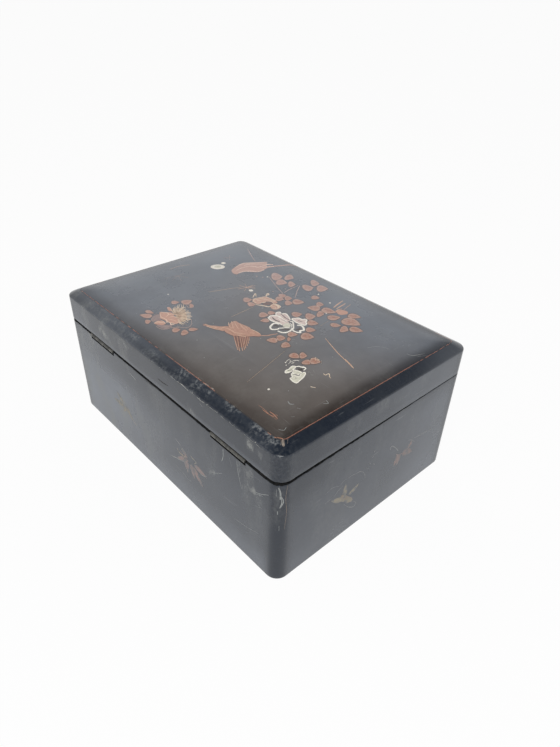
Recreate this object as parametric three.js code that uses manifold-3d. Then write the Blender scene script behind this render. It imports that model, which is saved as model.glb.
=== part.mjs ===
// A lacquered wooden box with a hinged lid, made of thin boards mitred at the corners.
// Millimetres, +Z up, standing on z = 0. The front faces -Y, the two hinges are on the back, +Y.
import * as THREE from "three";
import { mergeVertices } from "three/addons/utils/BufferGeometryUtils.js";
import Module from "manifold-3d";

const wasm = await Module();
wasm.setup();

// The box: its outline, its rim and its boards
const LENGTH = 285;
const WIDTH = 203;
const CORNER_RADIUS = 10;
const RIM_HEIGHT = 97;
const WALL_THICKNESS = 9;
const FLOOR_THICKNESS = 8;
const FOOT_ROUNDING = 1.5;
const MITRE_GAP = 0.3;

// The lip: thin strips inside the walls that stand above the rim and find the lid
const LIP_THICKNESS = 2.5;
const LIP_DEPTH = 14;
const LIP_RISE = 4.5;
const LIP_GAP = 0.3;

// The lid: low rails under one bevelled and crowned panel
const SEAM_GAP = 0.5;
const RAIL_HEIGHT = 20;
const PANEL_EDGE = 2.5;
const BEVEL_WIDTH = 9.2;
const BEVEL_RISE = 4.7;
const EDGE_ROUNDING = 1.5;
const FIELD_RADIUS = 5;
const CROWN_REACH = 40;
const CROWN_RISE = 2.4;

// The butt hinges: two, along the seam at the back, placed from the ends of the box
const HINGE_FROM_RIGHT = 60;
const HINGE_FROM_LEFT = 52.5;
const HINGE_LENGTH = 38;
const BARREL_RADIUS = 1.7;
const LEAF_THICKNESS = 1;
const LEAF_REACH = 7;
const AXIS_INSET = 0.8;
const KNUCKLES = 5;
const KNUCKLE_GAP = 0.3;
const PIN_RADIUS = 0.8;
const PIN_CLEARANCE = 0.12;
const HINGE_CLEARANCE = 0.3;
const LEAF_SCREW_FROM_END = 7;

// Countersunk screws, one size throughout
const SCREW_RADIUS = 0.9;
const SCREW_HEAD_RADIUS = 1.7;
const SCREW_HEAD_HEIGHT = 0.8;
const SCREW_LENGTH = 7.5;
const SCREW_POINT = 1.6;
const SCREW_SLOT = 0.5;
const SCREW_CLEARANCE = 0.3;

// The lock: a thin case let down into the middle of the front wall
const LOCK_CLEARANCE = 0.3;
const FACE_PLATE_LENGTH = 41;
const FACE_PLATE_WIDTH = 6.2;
const FACE_PLATE_THICKNESS = 1.2;
const FACE_SCREW_SPACING = 34;
const CASE_LENGTH = 28;
const CASE_THICKNESS = 5.4;
const CASE_DEPTH = 22;
const CASE_SHEET = 0.6;
const BOLT_THICKNESS = 2.6;
const BOLT_LENGTH = 19;
const BOLT_BAR_HEIGHT = 4;
const BOLT_TALON = 3;
const BOLT_HEAD_LENGTH = 6.5;
const BOLT_NOSE_HEIGHT = 2.3;
const BOLT_NOSE_THICKNESS = 1;
const BOLT_THROW = 3.5;
const BOLT_CLEARANCE = 0.5;

// The staple: a plate screwed under the lid's front rail, and the loop riveted into it for the bolt
const STAPLE_PLATE_LENGTH = 34;
const STAPLE_PLATE_THICKNESS = 1;
const STAPLE_SCREW_SPACING = 26;
const STAPLE_DROP = 8;
const STAPLE_LENGTH = 1.5;
const STAPLE_THICKNESS = 3.2;
const STAPLE_EYE = 1.8;
const STAPLE_FOOT = 1.2;
const STAPLE_CLEARANCE = 0.6;
const RIVET_CLEARANCE = 0.15;

// The keyhole and the plate round it
const KEYHOLE_RADIUS = 2;
const KEYHOLE_SLOT_WIDTH = 1.8;
const KEYHOLE_SLOT_DEPTH = 5;
const ESCUTCHEON_LENGTH = 15;
const ESCUTCHEON_HEIGHT = 23;
const ESCUTCHEON_THICKNESS = 0.9;
const PLATE_PIN_SPACING = 17;
const PLATE_PIN_RADIUS = 0.5;
const PLATE_PIN_HEAD = 0.9;
const PLATE_PIN_LENGTH = 1.6;
const PLATE_PIN_CLEARANCE = 0.15;

// Facets and cuts
const ARC_STEPS = 8;
const CROWN_STEPS = 4;
const EDGE_STEPS = 3;
const ROUND_SIDES = 16;
const SCREW_SIDES = 12;
const CUT_OVER = 2;

// Heights and places that follow from the sizes above
const LID_BOTTOM = RIM_HEIGHT + SEAM_GAP;
const RAIL_TOP = LID_BOTTOM + RAIL_HEIGHT;
const BEVEL_BOTTOM = RAIL_TOP + PANEL_EDGE;
const BEVEL_TOP = BEVEL_BOTTOM + BEVEL_RISE;
const BACK = WIDTH / 2;
const HINGE_CENTRES = [LENGTH / 2 - HINGE_FROM_RIGHT, HINGE_FROM_LEFT - LENGTH / 2];
const AXIS_Y = BACK - AXIS_INSET;
const AXIS_Z = LID_BOTTOM - BARREL_RADIUS;
const LEAF_EDGE_Y = AXIS_Y - LEAF_REACH;
const BARREL_EDGE_Y = AXIS_Y - BARREL_RADIUS - HINGE_CLEARANCE;
const LEAF_SCREW_Y = (LEAF_EDGE_Y + BARREL_EDGE_Y) / 2;
const LOCK_Y = -(WIDTH / 2 - WALL_THICKNESS / 2);
const FACE_PLATE_BOTTOM = RIM_HEIGHT - FACE_PLATE_THICKNESS;
const CASE_BOTTOM = FACE_PLATE_BOTTOM - CASE_DEPTH;
const STAPLE_BOTTOM = LID_BOTTOM - STAPLE_DROP;
const EYE_BOTTOM = STAPLE_BOTTOM + STAPLE_FOOT;
const NOSE_BOTTOM = EYE_BOTTOM + BOLT_CLEARANCE;
const NOSE_TOP = NOSE_BOTTOM + BOLT_NOSE_HEIGHT;
const BAR_TOP = STAPLE_BOTTOM - 2 * BOLT_CLEARANCE;
const BAR_BOTTOM = BAR_TOP - BOLT_BAR_HEIGHT;
const KEY_Z = BAR_BOTTOM - KEYHOLE_RADIUS - BOLT_CLEARANCE;

// Finishes
const lacquer = new THREE.MeshStandardMaterial({ color: 0x17181c, roughness: 0.32 });
const brass = new THREE.MeshStandardMaterial({ color: 0x7f7350, roughness: 0.5, metalness: 1 });
const iron = new THREE.MeshStandardMaterial({ color: 0x4b4843, roughness: 0.6, metalness: 1 });

// Solids: a closed mesh as a solid that can be cut, and back again
function solidOf(geometry) {
  const bare = geometry.clone();
  bare.deleteAttribute("normal");
  bare.deleteAttribute("uv");
  const merged = mergeVertices(bare, 1e-4);
  const vertProperties = new Float32Array(merged.attributes.position.array);
  const triVerts = new Uint32Array(merged.index.array);
  return new wasm.Manifold(new wasm.Mesh({ numProp: 3, vertProperties, triVerts }));
}

function geometryOf(solid) {
  const { vertProperties, triVerts, numProp } = solid.getMesh();
  const geometry = new THREE.BufferGeometry();
  geometry.setAttribute("position", new THREE.BufferAttribute(vertProperties, numProp));
  geometry.setIndex(new THREE.BufferAttribute(triVerts, 1));
  geometry.computeVertexNormals();
  return geometry;
}

function join(...geometries) {
  return geometryOf(geometries.map(solidOf).reduce((whole, piece) => whole.add(piece)));
}

function cut(geometry, ...tools) {
  return geometryOf(tools.map(solidOf).reduce((rest, tool) => rest.subtract(tool), solidOf(geometry)));
}

// A prism over a flat outline, its two ends at exact heights
function prism(outline, bottom, top) {
  const shape = outline.isShape ? outline : new THREE.Shape(outline);
  const geometry = new THREE.ExtrudeGeometry(shape, { depth: 1, bevelEnabled: false });
  const position = geometry.attributes.position;
  for (let i = 0; i < position.count; i++) {
    position.setZ(i, position.getZ(i) > 0.5 ? top : bottom);
  }
  return geometry;
}

function rectangle(x0, x1, y0, y1) {
  return [
    new THREE.Vector2(x0, y0),
    new THREE.Vector2(x1, y0),
    new THREE.Vector2(x1, y1),
    new THREE.Vector2(x0, y1),
  ];
}

function block(x0, x1, y0, y1, z0, z1) {
  return prism(rectangle(x0, x1, y0, y1), z0, z1);
}

// Points along part of a circle, both ends included
function arc(centreX, centreY, radius, startAngle, endAngle, steps) {
  return Array.from({ length: steps + 1 }, (_, step) => {
    const angle = startAngle + ((endAngle - startAngle) * step) / steps;
    return new THREE.Vector2(centreX + radius * Math.cos(angle), centreY + radius * Math.sin(angle));
  });
}

// A rectangle with round corners, drawn in from the box's own outline
function boxOutline(inset, radius) {
  const x = LENGTH / 2 - inset - radius;
  const y = WIDTH / 2 - inset - radius;
  const corners = [[x, y], [-x, y], [-x, -y], [x, -y]];
  return corners.flatMap(([centreX, centreY], corner) => {
    const start = (corner * Math.PI) / 2;
    return arc(centreX, centreY, radius, start, start + Math.PI / 2, ARC_STEPS);
  });
}

// A closed body through outlines stacked from the lowest up, all with the same number of points
function stack(rings) {
  const count = rings[0].outline.length;
  const positions = rings.flatMap(({ outline, height }) => outline.flatMap((p) => [p.x, p.y, height]));
  const faces = [];
  for (let ring = 0; ring + 1 < rings.length; ring++) {
    for (let i = 0; i < count; i++) {
      const a = ring * count + i;
      const b = ring * count + ((i + 1) % count);
      faces.push(a, b, b + count, a, b + count, a + count);
    }
  }
  const last = (rings.length - 1) * count;
  for (let i = 1; i + 1 < count; i++) {
    faces.push(0, i + 1, i);
    faces.push(last, last + i, last + i + 1);
  }
  const geometry = new THREE.BufferGeometry();
  geometry.setAttribute("position", new THREE.Float32BufferAttribute(positions, 3));
  geometry.setIndex(faces);
  geometry.computeVertexNormals();
  return geometry;
}

// The plan of a mitred board: outer face on y = 0, round outer corners, inner face at its thickness
function mitredBoard(length, thickness, radius) {
  const slack = MITRE_GAP / 2;
  const turn = Math.asin(slack / radius);
  const centreX = length / 2 - radius;
  const innerX = length / 2 - thickness - slack * Math.SQRT2;
  const down = (3 * Math.PI) / 2;
  return [
    ...arc(-centreX, radius, radius, down - Math.PI / 4 + turn, down, ARC_STEPS / 2),
    ...arc(centreX, radius, radius, down, down + Math.PI / 4 - turn, ARC_STEPS / 2),
    new THREE.Vector2(innerX, thickness),
    new THREE.Vector2(-innerX, thickness),
  ];
}

// The plan of a mitred strip with sharp corners
function mitredStrip(length, thickness) {
  const outerX = length / 2 - MITRE_GAP / Math.SQRT2;
  const innerX = outerX - thickness;
  return [
    new THREE.Vector2(-outerX, 0),
    new THREE.Vector2(outerX, 0),
    new THREE.Vector2(innerX, thickness),
    new THREE.Vector2(-innerX, thickness),
  ];
}

// The four sides: each turns a board made along X so that its outer face lies on the outline
const SIDES = {
  front: { turn: 0, span: LENGTH, offset: WIDTH / 2 },
  right: { turn: Math.PI / 2, span: WIDTH, offset: LENGTH / 2 },
  back: { turn: Math.PI, span: LENGTH, offset: WIDTH / 2 },
  left: { turn: -Math.PI / 2, span: WIDTH, offset: LENGTH / 2 },
};

function board(side, inset, plan, bottom, top) {
  const { turn, span, offset } = SIDES[side];
  return prism(plan(span - 2 * inset), bottom, top)
    .translate(0, inset - offset, 0)
    .rotateZ(turn);
}

function wallBoard(side, bottom, top) {
  const plan = (span) => mitredBoard(span, WALL_THICKNESS, CORNER_RADIUS);
  return board(side, 0, plan, bottom, top);
}

function lipStrip(side) {
  const plan = (span) => mitredStrip(span, LIP_THICKNESS);
  return board(side, WALL_THICKNESS + LIP_GAP, plan, RIM_HEIGHT - LIP_DEPTH, RIM_HEIGHT + LIP_RISE);
}

// Screws: the head's flat top at z = 0, the point down
function screwShape(clearance, headTop) {
  const shank = SCREW_RADIUS + clearance;
  const head = SCREW_HEAD_RADIUS + clearance;
  const profile = [
    new THREE.Vector2(0, -SCREW_LENGTH - clearance),
    new THREE.Vector2(shank, -SCREW_LENGTH + SCREW_POINT - clearance),
    new THREE.Vector2(shank, -SCREW_HEAD_HEIGHT),
    new THREE.Vector2(head, -clearance * (SCREW_HEAD_HEIGHT / SCREW_HEAD_RADIUS)),
    new THREE.Vector2(head, headTop),
    new THREE.Vector2(0, headTop),
  ];
  if (headTop === 0 && clearance === 0) profile.splice(3, 1);
  return new THREE.LatheGeometry(profile, SCREW_SIDES).rotateX(Math.PI / 2);
}

function screw(slotTurn) {
  const slot = block(
    -SCREW_HEAD_RADIUS - CUT_OVER, SCREW_HEAD_RADIUS + CUT_OVER,
    -SCREW_SLOT / 2, SCREW_SLOT / 2, -SCREW_SLOT, CUT_OVER,
  );
  return cut(screwShape(0, 0), slot.rotateZ(slotTurn));
}

// A screw, or the hole that it needs, at a place and driven down or up
function driven(geometry, x, y, z, upwards) {
  return (upwards ? geometry.rotateX(Math.PI) : geometry).translate(x, y, z);
}

function screwHole(x, y, z, upwards) {
  return driven(screwShape(SCREW_CLEARANCE, CUT_OVER), x, y, z, upwards);
}

const LEAF_SCREW_SPACING = HINGE_LENGTH / 2 - LEAF_SCREW_FROM_END;
const LEAF_SCREW_OFFSETS = [-LEAF_SCREW_SPACING, 0, LEAF_SCREW_SPACING];
const PAIR = [-1, 1];

// The plate and knuckles of one leaf, round an axis along X through the origin.
// side is -1 for the leaf on the box and 1 for the leaf on the lid.
function hingeLeaf(side) {
  const pitch = (HINGE_LENGTH + KNUCKLE_GAP) / KNUCKLES;
  const low = side * BARREL_RADIUS;
  const high = side * (BARREL_RADIUS - LEAF_THICKNESS);
  const [bottom, top] = side < 0 ? [low, high] : [high, low];
  const plateEdge = -BARREL_RADIUS - HINGE_CLEARANCE;
  const plate = block(-HINGE_LENGTH / 2, HINGE_LENGTH / 2, -LEAF_REACH, plateEdge, bottom, top);
  const firstKnuckle = side < 0 ? 0 : 1;
  const knuckles = [];
  for (let knuckle = firstKnuckle; knuckle < KNUCKLES; knuckle += 2) {
    const start = -HINGE_LENGTH / 2 + knuckle * pitch;
    const end = start + pitch - KNUCKLE_GAP;
    const tube = new THREE.CylinderGeometry(BARREL_RADIUS, BARREL_RADIUS, end - start, ROUND_SIDES);
    knuckles.push(tube.rotateZ(Math.PI / 2).translate((start + end) / 2, 0, 0));
    knuckles.push(block(start, end, plateEdge - LEAF_THICKNESS, 0, bottom, top));
  }
  const boreRadius = PIN_RADIUS + PIN_CLEARANCE;
  const bore = new THREE.CylinderGeometry(boreRadius, boreRadius, HINGE_LENGTH + 2 * CUT_OVER, ROUND_SIDES);
  const holes = LEAF_SCREW_OFFSETS.map((offset) => screwHole(offset, LEAF_SCREW_Y - AXIS_Y, high, side > 0));
  return cut(join(plate, ...knuckles), bore.rotateZ(Math.PI / 2), ...holes);
}

function hingePin() {
  return new THREE.CylinderGeometry(PIN_RADIUS, PIN_RADIUS, HINGE_LENGTH, ROUND_SIDES).rotateZ(Math.PI / 2);
}

// The housings for a hinge: a step in the box's rim, and a shallow groove over the barrel in both
function hingeHousing(x) {
  const halfLength = HINGE_LENGTH / 2 + HINGE_CLEARANCE;
  const outside = BACK + CUT_OVER;
  const seat = AXIS_Z - BARREL_RADIUS;
  return [
    block(x - halfLength, x + halfLength, LEAF_EDGE_Y - HINGE_CLEARANCE, outside, seat, RIM_HEIGHT + CUT_OVER),
    block(x - halfLength, x + halfLength, BARREL_EDGE_Y, outside, seat - HINGE_CLEARANCE, RIM_HEIGHT),
  ];
}

function lidGroove(x) {
  const halfLength = HINGE_LENGTH / 2 + HINGE_CLEARANCE;
  const top = LID_BOTTOM + HINGE_CLEARANCE;
  return block(x - halfLength, x + halfLength, BARREL_EDGE_Y, BACK + CUT_OVER, LID_BOTTOM - CUT_OVER, top);
}

// The keyhole's outline in the plane of the front, round its own centre
function keyhole(clearance) {
  const radius = KEYHOLE_RADIUS + clearance;
  const halfSlot = KEYHOLE_SLOT_WIDTH / 2 + clearance;
  const meet = Math.asin(halfSlot / radius);
  const down = -Math.PI / 2;
  const slotBottom = -KEYHOLE_SLOT_DEPTH - clearance;
  return [
    new THREE.Vector2(-halfSlot, slotBottom),
    new THREE.Vector2(halfSlot, slotBottom),
    ...arc(0, 0, radius, down + meet, down + 2 * Math.PI - meet, 2 * ARC_STEPS),
  ];
}

// A flat piece in the plane of the front, between two distances in front of the middle
function upright(outline, near, far, z) {
  return prism(outline, near, far).rotateX(Math.PI / 2).translate(0, 0, z);
}

function keyCut(near, far) {
  return upright(keyhole(LOCK_CLEARANCE), near, far, KEY_Z);
}

// Group: every piece is one named mesh
const box = new THREE.Group();

function add(name, geometry, material) {
  const mesh = new THREE.Mesh(geometry, material);
  mesh.name = name;
  box.add(mesh);
}

// The box: floor, four walls and the lip
function makeFloor() {
  const rings = arc(0, FOOT_ROUNDING, FOOT_ROUNDING, -Math.PI / 2, 0, ARC_STEPS / 2);
  return stack([
    ...rings.map(({ x, y }) => {
      const inset = FOOT_ROUNDING - x;
      return { outline: boxOutline(inset, CORNER_RADIUS - inset), height: y };
    }),
    { outline: boxOutline(0, CORNER_RADIUS), height: FLOOR_THICKNESS },
  ]);
}

function makeFrontWall() {
  const halfPlate = FACE_PLATE_LENGTH / 2 + LOCK_CLEARANCE;
  const halfWidth = FACE_PLATE_WIDTH / 2 + LOCK_CLEARANCE;
  const halfCase = CASE_LENGTH / 2 + LOCK_CLEARANCE;
  const halfCaseWidth = CASE_THICKNESS / 2 + LOCK_CLEARANCE;
  const overRim = RIM_HEIGHT + CUT_OVER;
  return cut(
    wallBoard("front", FLOOR_THICKNESS, RIM_HEIGHT),
    block(-halfPlate, halfPlate, LOCK_Y - halfWidth, LOCK_Y + halfWidth, FACE_PLATE_BOTTOM, overRim),
    block(
      -halfCase, halfCase, LOCK_Y - halfCaseWidth, LOCK_Y + halfCaseWidth,
      CASE_BOTTOM - LOCK_CLEARANCE, overRim,
    ),
    keyCut(-LOCK_Y, WIDTH / 2 + CUT_OVER),
    ...PAIR.map((end) => screwHole((end * FACE_SCREW_SPACING) / 2, LOCK_Y, RIM_HEIGHT, false)),
    ...PAIR.map((end) => platePin(PLATE_PIN_CLEARANCE, end)),
  );
}

function makeBackWall() {
  const wall = wallBoard("back", FLOOR_THICKNESS, RIM_HEIGHT);
  const leafTop = AXIS_Z - BARREL_RADIUS + LEAF_THICKNESS;
  const cuts = HINGE_CENTRES.flatMap((centre) => [
    ...hingeHousing(centre),
    ...LEAF_SCREW_OFFSETS.map((offset) => screwHole(centre + offset, LEAF_SCREW_Y, leafTop, false)),
  ]);
  return cut(wall, ...cuts);
}

add("floor_board", makeFloor(), lacquer);
add("front_wall", makeFrontWall(), lacquer);
add("back_wall", makeBackWall(), lacquer);
add("left_wall", wallBoard("left", FLOOR_THICKNESS, RIM_HEIGHT), lacquer);
add("right_wall", wallBoard("right", FLOOR_THICKNESS, RIM_HEIGHT), lacquer);
for (const side of Object.keys(SIDES)) {
  add("lip_" + side, lipStrip(side), lacquer);
}

// The lid: four rails under the panel
function makeFrontRail() {
  const halfPlate = STAPLE_PLATE_LENGTH / 2 + LOCK_CLEARANCE;
  const halfWidth = FACE_PLATE_WIDTH / 2 + LOCK_CLEARANCE;
  const plateTop = LID_BOTTOM + STAPLE_PLATE_THICKNESS;
  return cut(
    wallBoard("front", LID_BOTTOM, RAIL_TOP),
    block(-halfPlate, halfPlate, LOCK_Y - halfWidth, LOCK_Y + halfWidth, LID_BOTTOM - CUT_OVER, plateTop),
    ...PAIR.map((end) => screwHole((end * STAPLE_SCREW_SPACING) / 2, LOCK_Y, LID_BOTTOM, true)),
  );
}

function makeBackRail() {
  const leafBottom = LID_BOTTOM - LEAF_THICKNESS;
  const cuts = HINGE_CENTRES.flatMap((centre) => [
    lidGroove(centre),
    ...LEAF_SCREW_OFFSETS.map((offset) => screwHole(centre + offset, LEAF_SCREW_Y, leafBottom, true)),
  ]);
  return cut(wallBoard("back", LID_BOTTOM, RAIL_TOP), ...cuts);
}

function makePanel() {
  const rings = [{ outline: boxOutline(0, CORNER_RADIUS), height: RAIL_TOP }];
  const turn = Math.PI / 2 - Math.atan2(BEVEL_RISE, BEVEL_WIDTH);
  const start = BEVEL_BOTTOM - EDGE_ROUNDING * Math.tan(turn / 2);
  for (const { x, y } of arc(-EDGE_ROUNDING, 0, EDGE_ROUNDING, 0, turn, EDGE_STEPS)) {
    rings.push({ outline: boxOutline(-x, CORNER_RADIUS + x), height: start + y });
  }
  for (let step = 0; step <= CROWN_STEPS; step++) {
    const share = step / CROWN_STEPS;
    rings.push({
      outline: boxOutline(BEVEL_WIDTH + share * CROWN_REACH, FIELD_RADIUS),
      height: BEVEL_TOP + CROWN_RISE * (1 - (1 - share) ** 2),
    });
  }
  return stack(rings);
}

add("lid_front_rail", makeFrontRail(), lacquer);
add("lid_back_rail", makeBackRail(), lacquer);
add("lid_left_rail", wallBoard("left", LID_BOTTOM, RAIL_TOP), lacquer);
add("lid_right_rail", wallBoard("right", LID_BOTTOM, RAIL_TOP), lacquer);
add("lid_panel", makePanel(), lacquer);

// The hinges and their screws
HINGE_CENTRES.forEach((centre, hinge) => {
  const number = hinge + 1;
  const bodyTop = AXIS_Z - BARREL_RADIUS + LEAF_THICKNESS;
  const lidBottom = LID_BOTTOM - LEAF_THICKNESS;
  add("hinge_" + number + "_box_leaf", hingeLeaf(-1).translate(centre, AXIS_Y, AXIS_Z), brass);
  add("hinge_" + number + "_lid_leaf", hingeLeaf(1).translate(centre, AXIS_Y, AXIS_Z), brass);
  add("hinge_" + number + "_pin", hingePin().translate(centre, AXIS_Y, AXIS_Z), iron);
  LEAF_SCREW_OFFSETS.forEach((offset, place) => {
    const x = centre + offset;
    const turn = place + hinge;
    const letter = "abc"[place];
    add("hinge_" + number + "_box_screw_" + letter, driven(screw(turn), x, LEAF_SCREW_Y, bodyTop, false), brass);
    add("hinge_" + number + "_lid_screw_" + letter, driven(screw(-turn), x, LEAF_SCREW_Y, lidBottom, true), brass);
  });
});

// The lock in the front wall, its bolt drawn back
function makeFacePlate() {
  const halfSlot = STAPLE_LENGTH / 2 + STAPLE_CLEARANCE;
  const halfSlotWidth = STAPLE_THICKNESS / 2 + STAPLE_CLEARANCE;
  const halfWidth = FACE_PLATE_WIDTH / 2;
  return cut(
    block(
      -FACE_PLATE_LENGTH / 2, FACE_PLATE_LENGTH / 2, LOCK_Y - halfWidth, LOCK_Y + halfWidth,
      FACE_PLATE_BOTTOM, RIM_HEIGHT,
    ),
    block(
      -halfSlot, halfSlot, LOCK_Y - halfSlotWidth, LOCK_Y + halfSlotWidth,
      FACE_PLATE_BOTTOM - CUT_OVER, RIM_HEIGHT + CUT_OVER,
    ),
    ...PAIR.map((end) => screwHole((end * FACE_SCREW_SPACING) / 2, LOCK_Y, RIM_HEIGHT, false)),
  );
}

function makeLockCase() {
  const halfLength = CASE_LENGTH / 2;
  const halfThickness = CASE_THICKNESS / 2;
  const insideLength = halfLength - CASE_SHEET;
  const inside = halfThickness - CASE_SHEET;
  return cut(
    block(-halfLength, halfLength, LOCK_Y - halfThickness, LOCK_Y + halfThickness, CASE_BOTTOM, FACE_PLATE_BOTTOM),
    block(
      -insideLength, insideLength, LOCK_Y - inside, LOCK_Y + inside,
      CASE_BOTTOM + CASE_SHEET, FACE_PLATE_BOTTOM + CUT_OVER,
    ),
    keyCut(-LOCK_Y, -LOCK_Y + CASE_THICKNESS),
  );
}

function makeBolt() {
  const noseTip = -STAPLE_LENGTH / 2 - BOLT_CLEARANCE;
  const headFront = noseTip - BOLT_THROW;
  const left = headFront - BOLT_HEAD_LENGTH;
  const barOutline = [
    new THREE.Vector2(left, BAR_BOTTOM),
    new THREE.Vector2(-BOLT_TALON / 2, BAR_BOTTOM),
    new THREE.Vector2(-BOLT_TALON / 2, BAR_BOTTOM + BOLT_BAR_HEIGHT / 2),
    new THREE.Vector2(BOLT_TALON / 2, BAR_BOTTOM + BOLT_BAR_HEIGHT / 2),
    new THREE.Vector2(BOLT_TALON / 2, BAR_BOTTOM),
    new THREE.Vector2(left + BOLT_LENGTH, BAR_BOTTOM),
    new THREE.Vector2(left + BOLT_LENGTH, BAR_TOP),
    new THREE.Vector2(headFront, BAR_TOP),
    new THREE.Vector2(headFront, NOSE_TOP),
    new THREE.Vector2(left, NOSE_TOP),
  ];
  const halfThickness = BOLT_THICKNESS / 2;
  const bar = upright(barOutline, -LOCK_Y - halfThickness, -LOCK_Y + halfThickness, 0);
  const halfNose = BOLT_NOSE_THICKNESS / 2;
  const nose = block(
    headFront - BOLT_CLEARANCE, noseTip, LOCK_Y - halfNose, LOCK_Y + halfNose, NOSE_BOTTOM, NOSE_TOP,
  );
  return join(bar, nose);
}

function makeStaplePlate() {
  const halfPlate = STAPLE_PLATE_LENGTH / 2;
  const halfWidth = FACE_PLATE_WIDTH / 2;
  const plateTop = LID_BOTTOM + STAPLE_PLATE_THICKNESS;
  const halfHole = STAPLE_LENGTH / 2 + RIVET_CLEARANCE;
  const halfHoleWidth = STAPLE_THICKNESS / 2 + RIVET_CLEARANCE;
  return cut(
    block(-halfPlate, halfPlate, LOCK_Y - halfWidth, LOCK_Y + halfWidth, LID_BOTTOM, plateTop),
    block(
      -halfHole, halfHole, LOCK_Y - halfHoleWidth, LOCK_Y + halfHoleWidth,
      LID_BOTTOM - CUT_OVER, plateTop + CUT_OVER,
    ),
    ...PAIR.map((end) => screwHole((end * STAPLE_SCREW_SPACING) / 2, LOCK_Y, LID_BOTTOM, true)),
  );
}

// The loop's foot ends in the plate, where it is riveted over
function makeStapleLoop() {
  const halfLength = STAPLE_LENGTH / 2;
  const halfThickness = STAPLE_THICKNESS / 2;
  const halfEye = STAPLE_EYE / 2;
  const plateTop = LID_BOTTOM + STAPLE_PLATE_THICKNESS;
  return cut(
    block(-halfLength, halfLength, LOCK_Y - halfThickness, LOCK_Y + halfThickness, STAPLE_BOTTOM, plateTop),
    block(
      -halfLength - CUT_OVER, halfLength + CUT_OVER, LOCK_Y - halfEye, LOCK_Y + halfEye,
      EYE_BOTTOM, NOSE_TOP + BOLT_CLEARANCE,
    ),
  );
}

add("lock_face_plate", makeFacePlate(), brass);
add("lock_case", makeLockCase(), brass);
add("lock_bolt", makeBolt(), brass);
add("staple_plate", makeStaplePlate(), brass);
add("staple_loop", makeStapleLoop(), brass);
PAIR.forEach((end, place) => {
  const faceX = (end * FACE_SCREW_SPACING) / 2;
  const stapleX = (end * STAPLE_SCREW_SPACING) / 2;
  add("lock_screw_" + "ab"[place], driven(screw(end), faceX, LOCK_Y, RIM_HEIGHT, false), brass);
  add("staple_screw_" + "ab"[place], driven(screw(end), stapleX, LOCK_Y, LID_BOTTOM, true), brass);
});

// The keyhole plate on the front and its two round-headed pins
function platePin(clearance, end) {
  const radius = PLATE_PIN_RADIUS + clearance;
  const front = WIDTH / 2 + ESCUTCHEON_THICKNESS;
  const tip = front - ESCUTCHEON_THICKNESS - PLATE_PIN_LENGTH - clearance;
  const place = KEY_Z - KEYHOLE_SLOT_DEPTH / 2 + (end * PLATE_PIN_SPACING) / 2;
  const circle = arc(0, 0, radius, 0, 2 * Math.PI, SCREW_SIDES).slice(1);
  return upright(circle, tip, front + clearance, place);
}

function roundedPin(end) {
  const front = WIDTH / 2 + ESCUTCHEON_THICKNESS;
  const place = KEY_Z - KEYHOLE_SLOT_DEPTH / 2 + (end * PLATE_PIN_SPACING) / 2;
  const head = arc(0, 0, PLATE_PIN_HEAD, 0, 2 * Math.PI, SCREW_SIDES).slice(1);
  const dome = upright(head, front + PLATE_PIN_CLEARANCE, front + PLATE_PIN_HEAD / 2, place);
  return join(platePin(0, end), dome, upright(head, front, front + PLATE_PIN_CLEARANCE, place));
}

function makeEscutcheon() {
  const centre = KEY_Z - KEYHOLE_SLOT_DEPTH / 2;
  const oval = Array.from({ length: 4 * ARC_STEPS }, (_, step) => {
    const angle = (step * Math.PI) / (2 * ARC_STEPS);
    const x = (ESCUTCHEON_LENGTH / 2) * Math.cos(angle);
    return new THREE.Vector2(x, (ESCUTCHEON_HEIGHT / 2) * Math.sin(angle));
  });
  const near = WIDTH / 2;
  return cut(
    upright(oval, near, near + ESCUTCHEON_THICKNESS, centre),
    upright(keyhole(0), near - CUT_OVER, near + ESCUTCHEON_THICKNESS + CUT_OVER, KEY_Z),
    ...PAIR.map((end) => platePin(PLATE_PIN_CLEARANCE, end)),
  );
}

add("keyhole_plate", makeEscutcheon(), brass);
PAIR.forEach((end, place) => add("keyhole_plate_pin_" + "ab"[place], roundedPin(end), brass));

export default box;
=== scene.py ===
# A lacquered wooden box with a hinged lid, as an old, worn piece with raised ornament on the lid.
# Metres, +Z up, standing on z = 0. The hinges are at the back, +Y, and the keyhole is in the front.
import math
import random

import bmesh
import bpy
from mathutils import Matrix, Quaternion, Vector, noise
from mathutils.bvhtree import BVHTree
from mathutils.geometry import tessellate_polygon


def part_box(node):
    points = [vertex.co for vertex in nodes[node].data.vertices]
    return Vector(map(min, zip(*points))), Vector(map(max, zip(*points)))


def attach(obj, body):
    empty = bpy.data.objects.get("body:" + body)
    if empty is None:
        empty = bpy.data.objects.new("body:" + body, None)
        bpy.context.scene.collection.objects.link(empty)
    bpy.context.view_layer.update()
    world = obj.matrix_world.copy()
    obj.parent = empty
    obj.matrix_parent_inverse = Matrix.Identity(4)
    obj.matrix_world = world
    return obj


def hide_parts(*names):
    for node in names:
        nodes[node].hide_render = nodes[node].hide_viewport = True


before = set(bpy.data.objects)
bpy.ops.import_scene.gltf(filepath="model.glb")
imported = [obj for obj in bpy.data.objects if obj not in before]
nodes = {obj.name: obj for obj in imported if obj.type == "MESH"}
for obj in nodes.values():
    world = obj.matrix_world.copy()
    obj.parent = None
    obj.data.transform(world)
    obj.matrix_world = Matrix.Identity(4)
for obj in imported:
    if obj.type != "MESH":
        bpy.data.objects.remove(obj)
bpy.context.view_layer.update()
MM = 0.001


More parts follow.
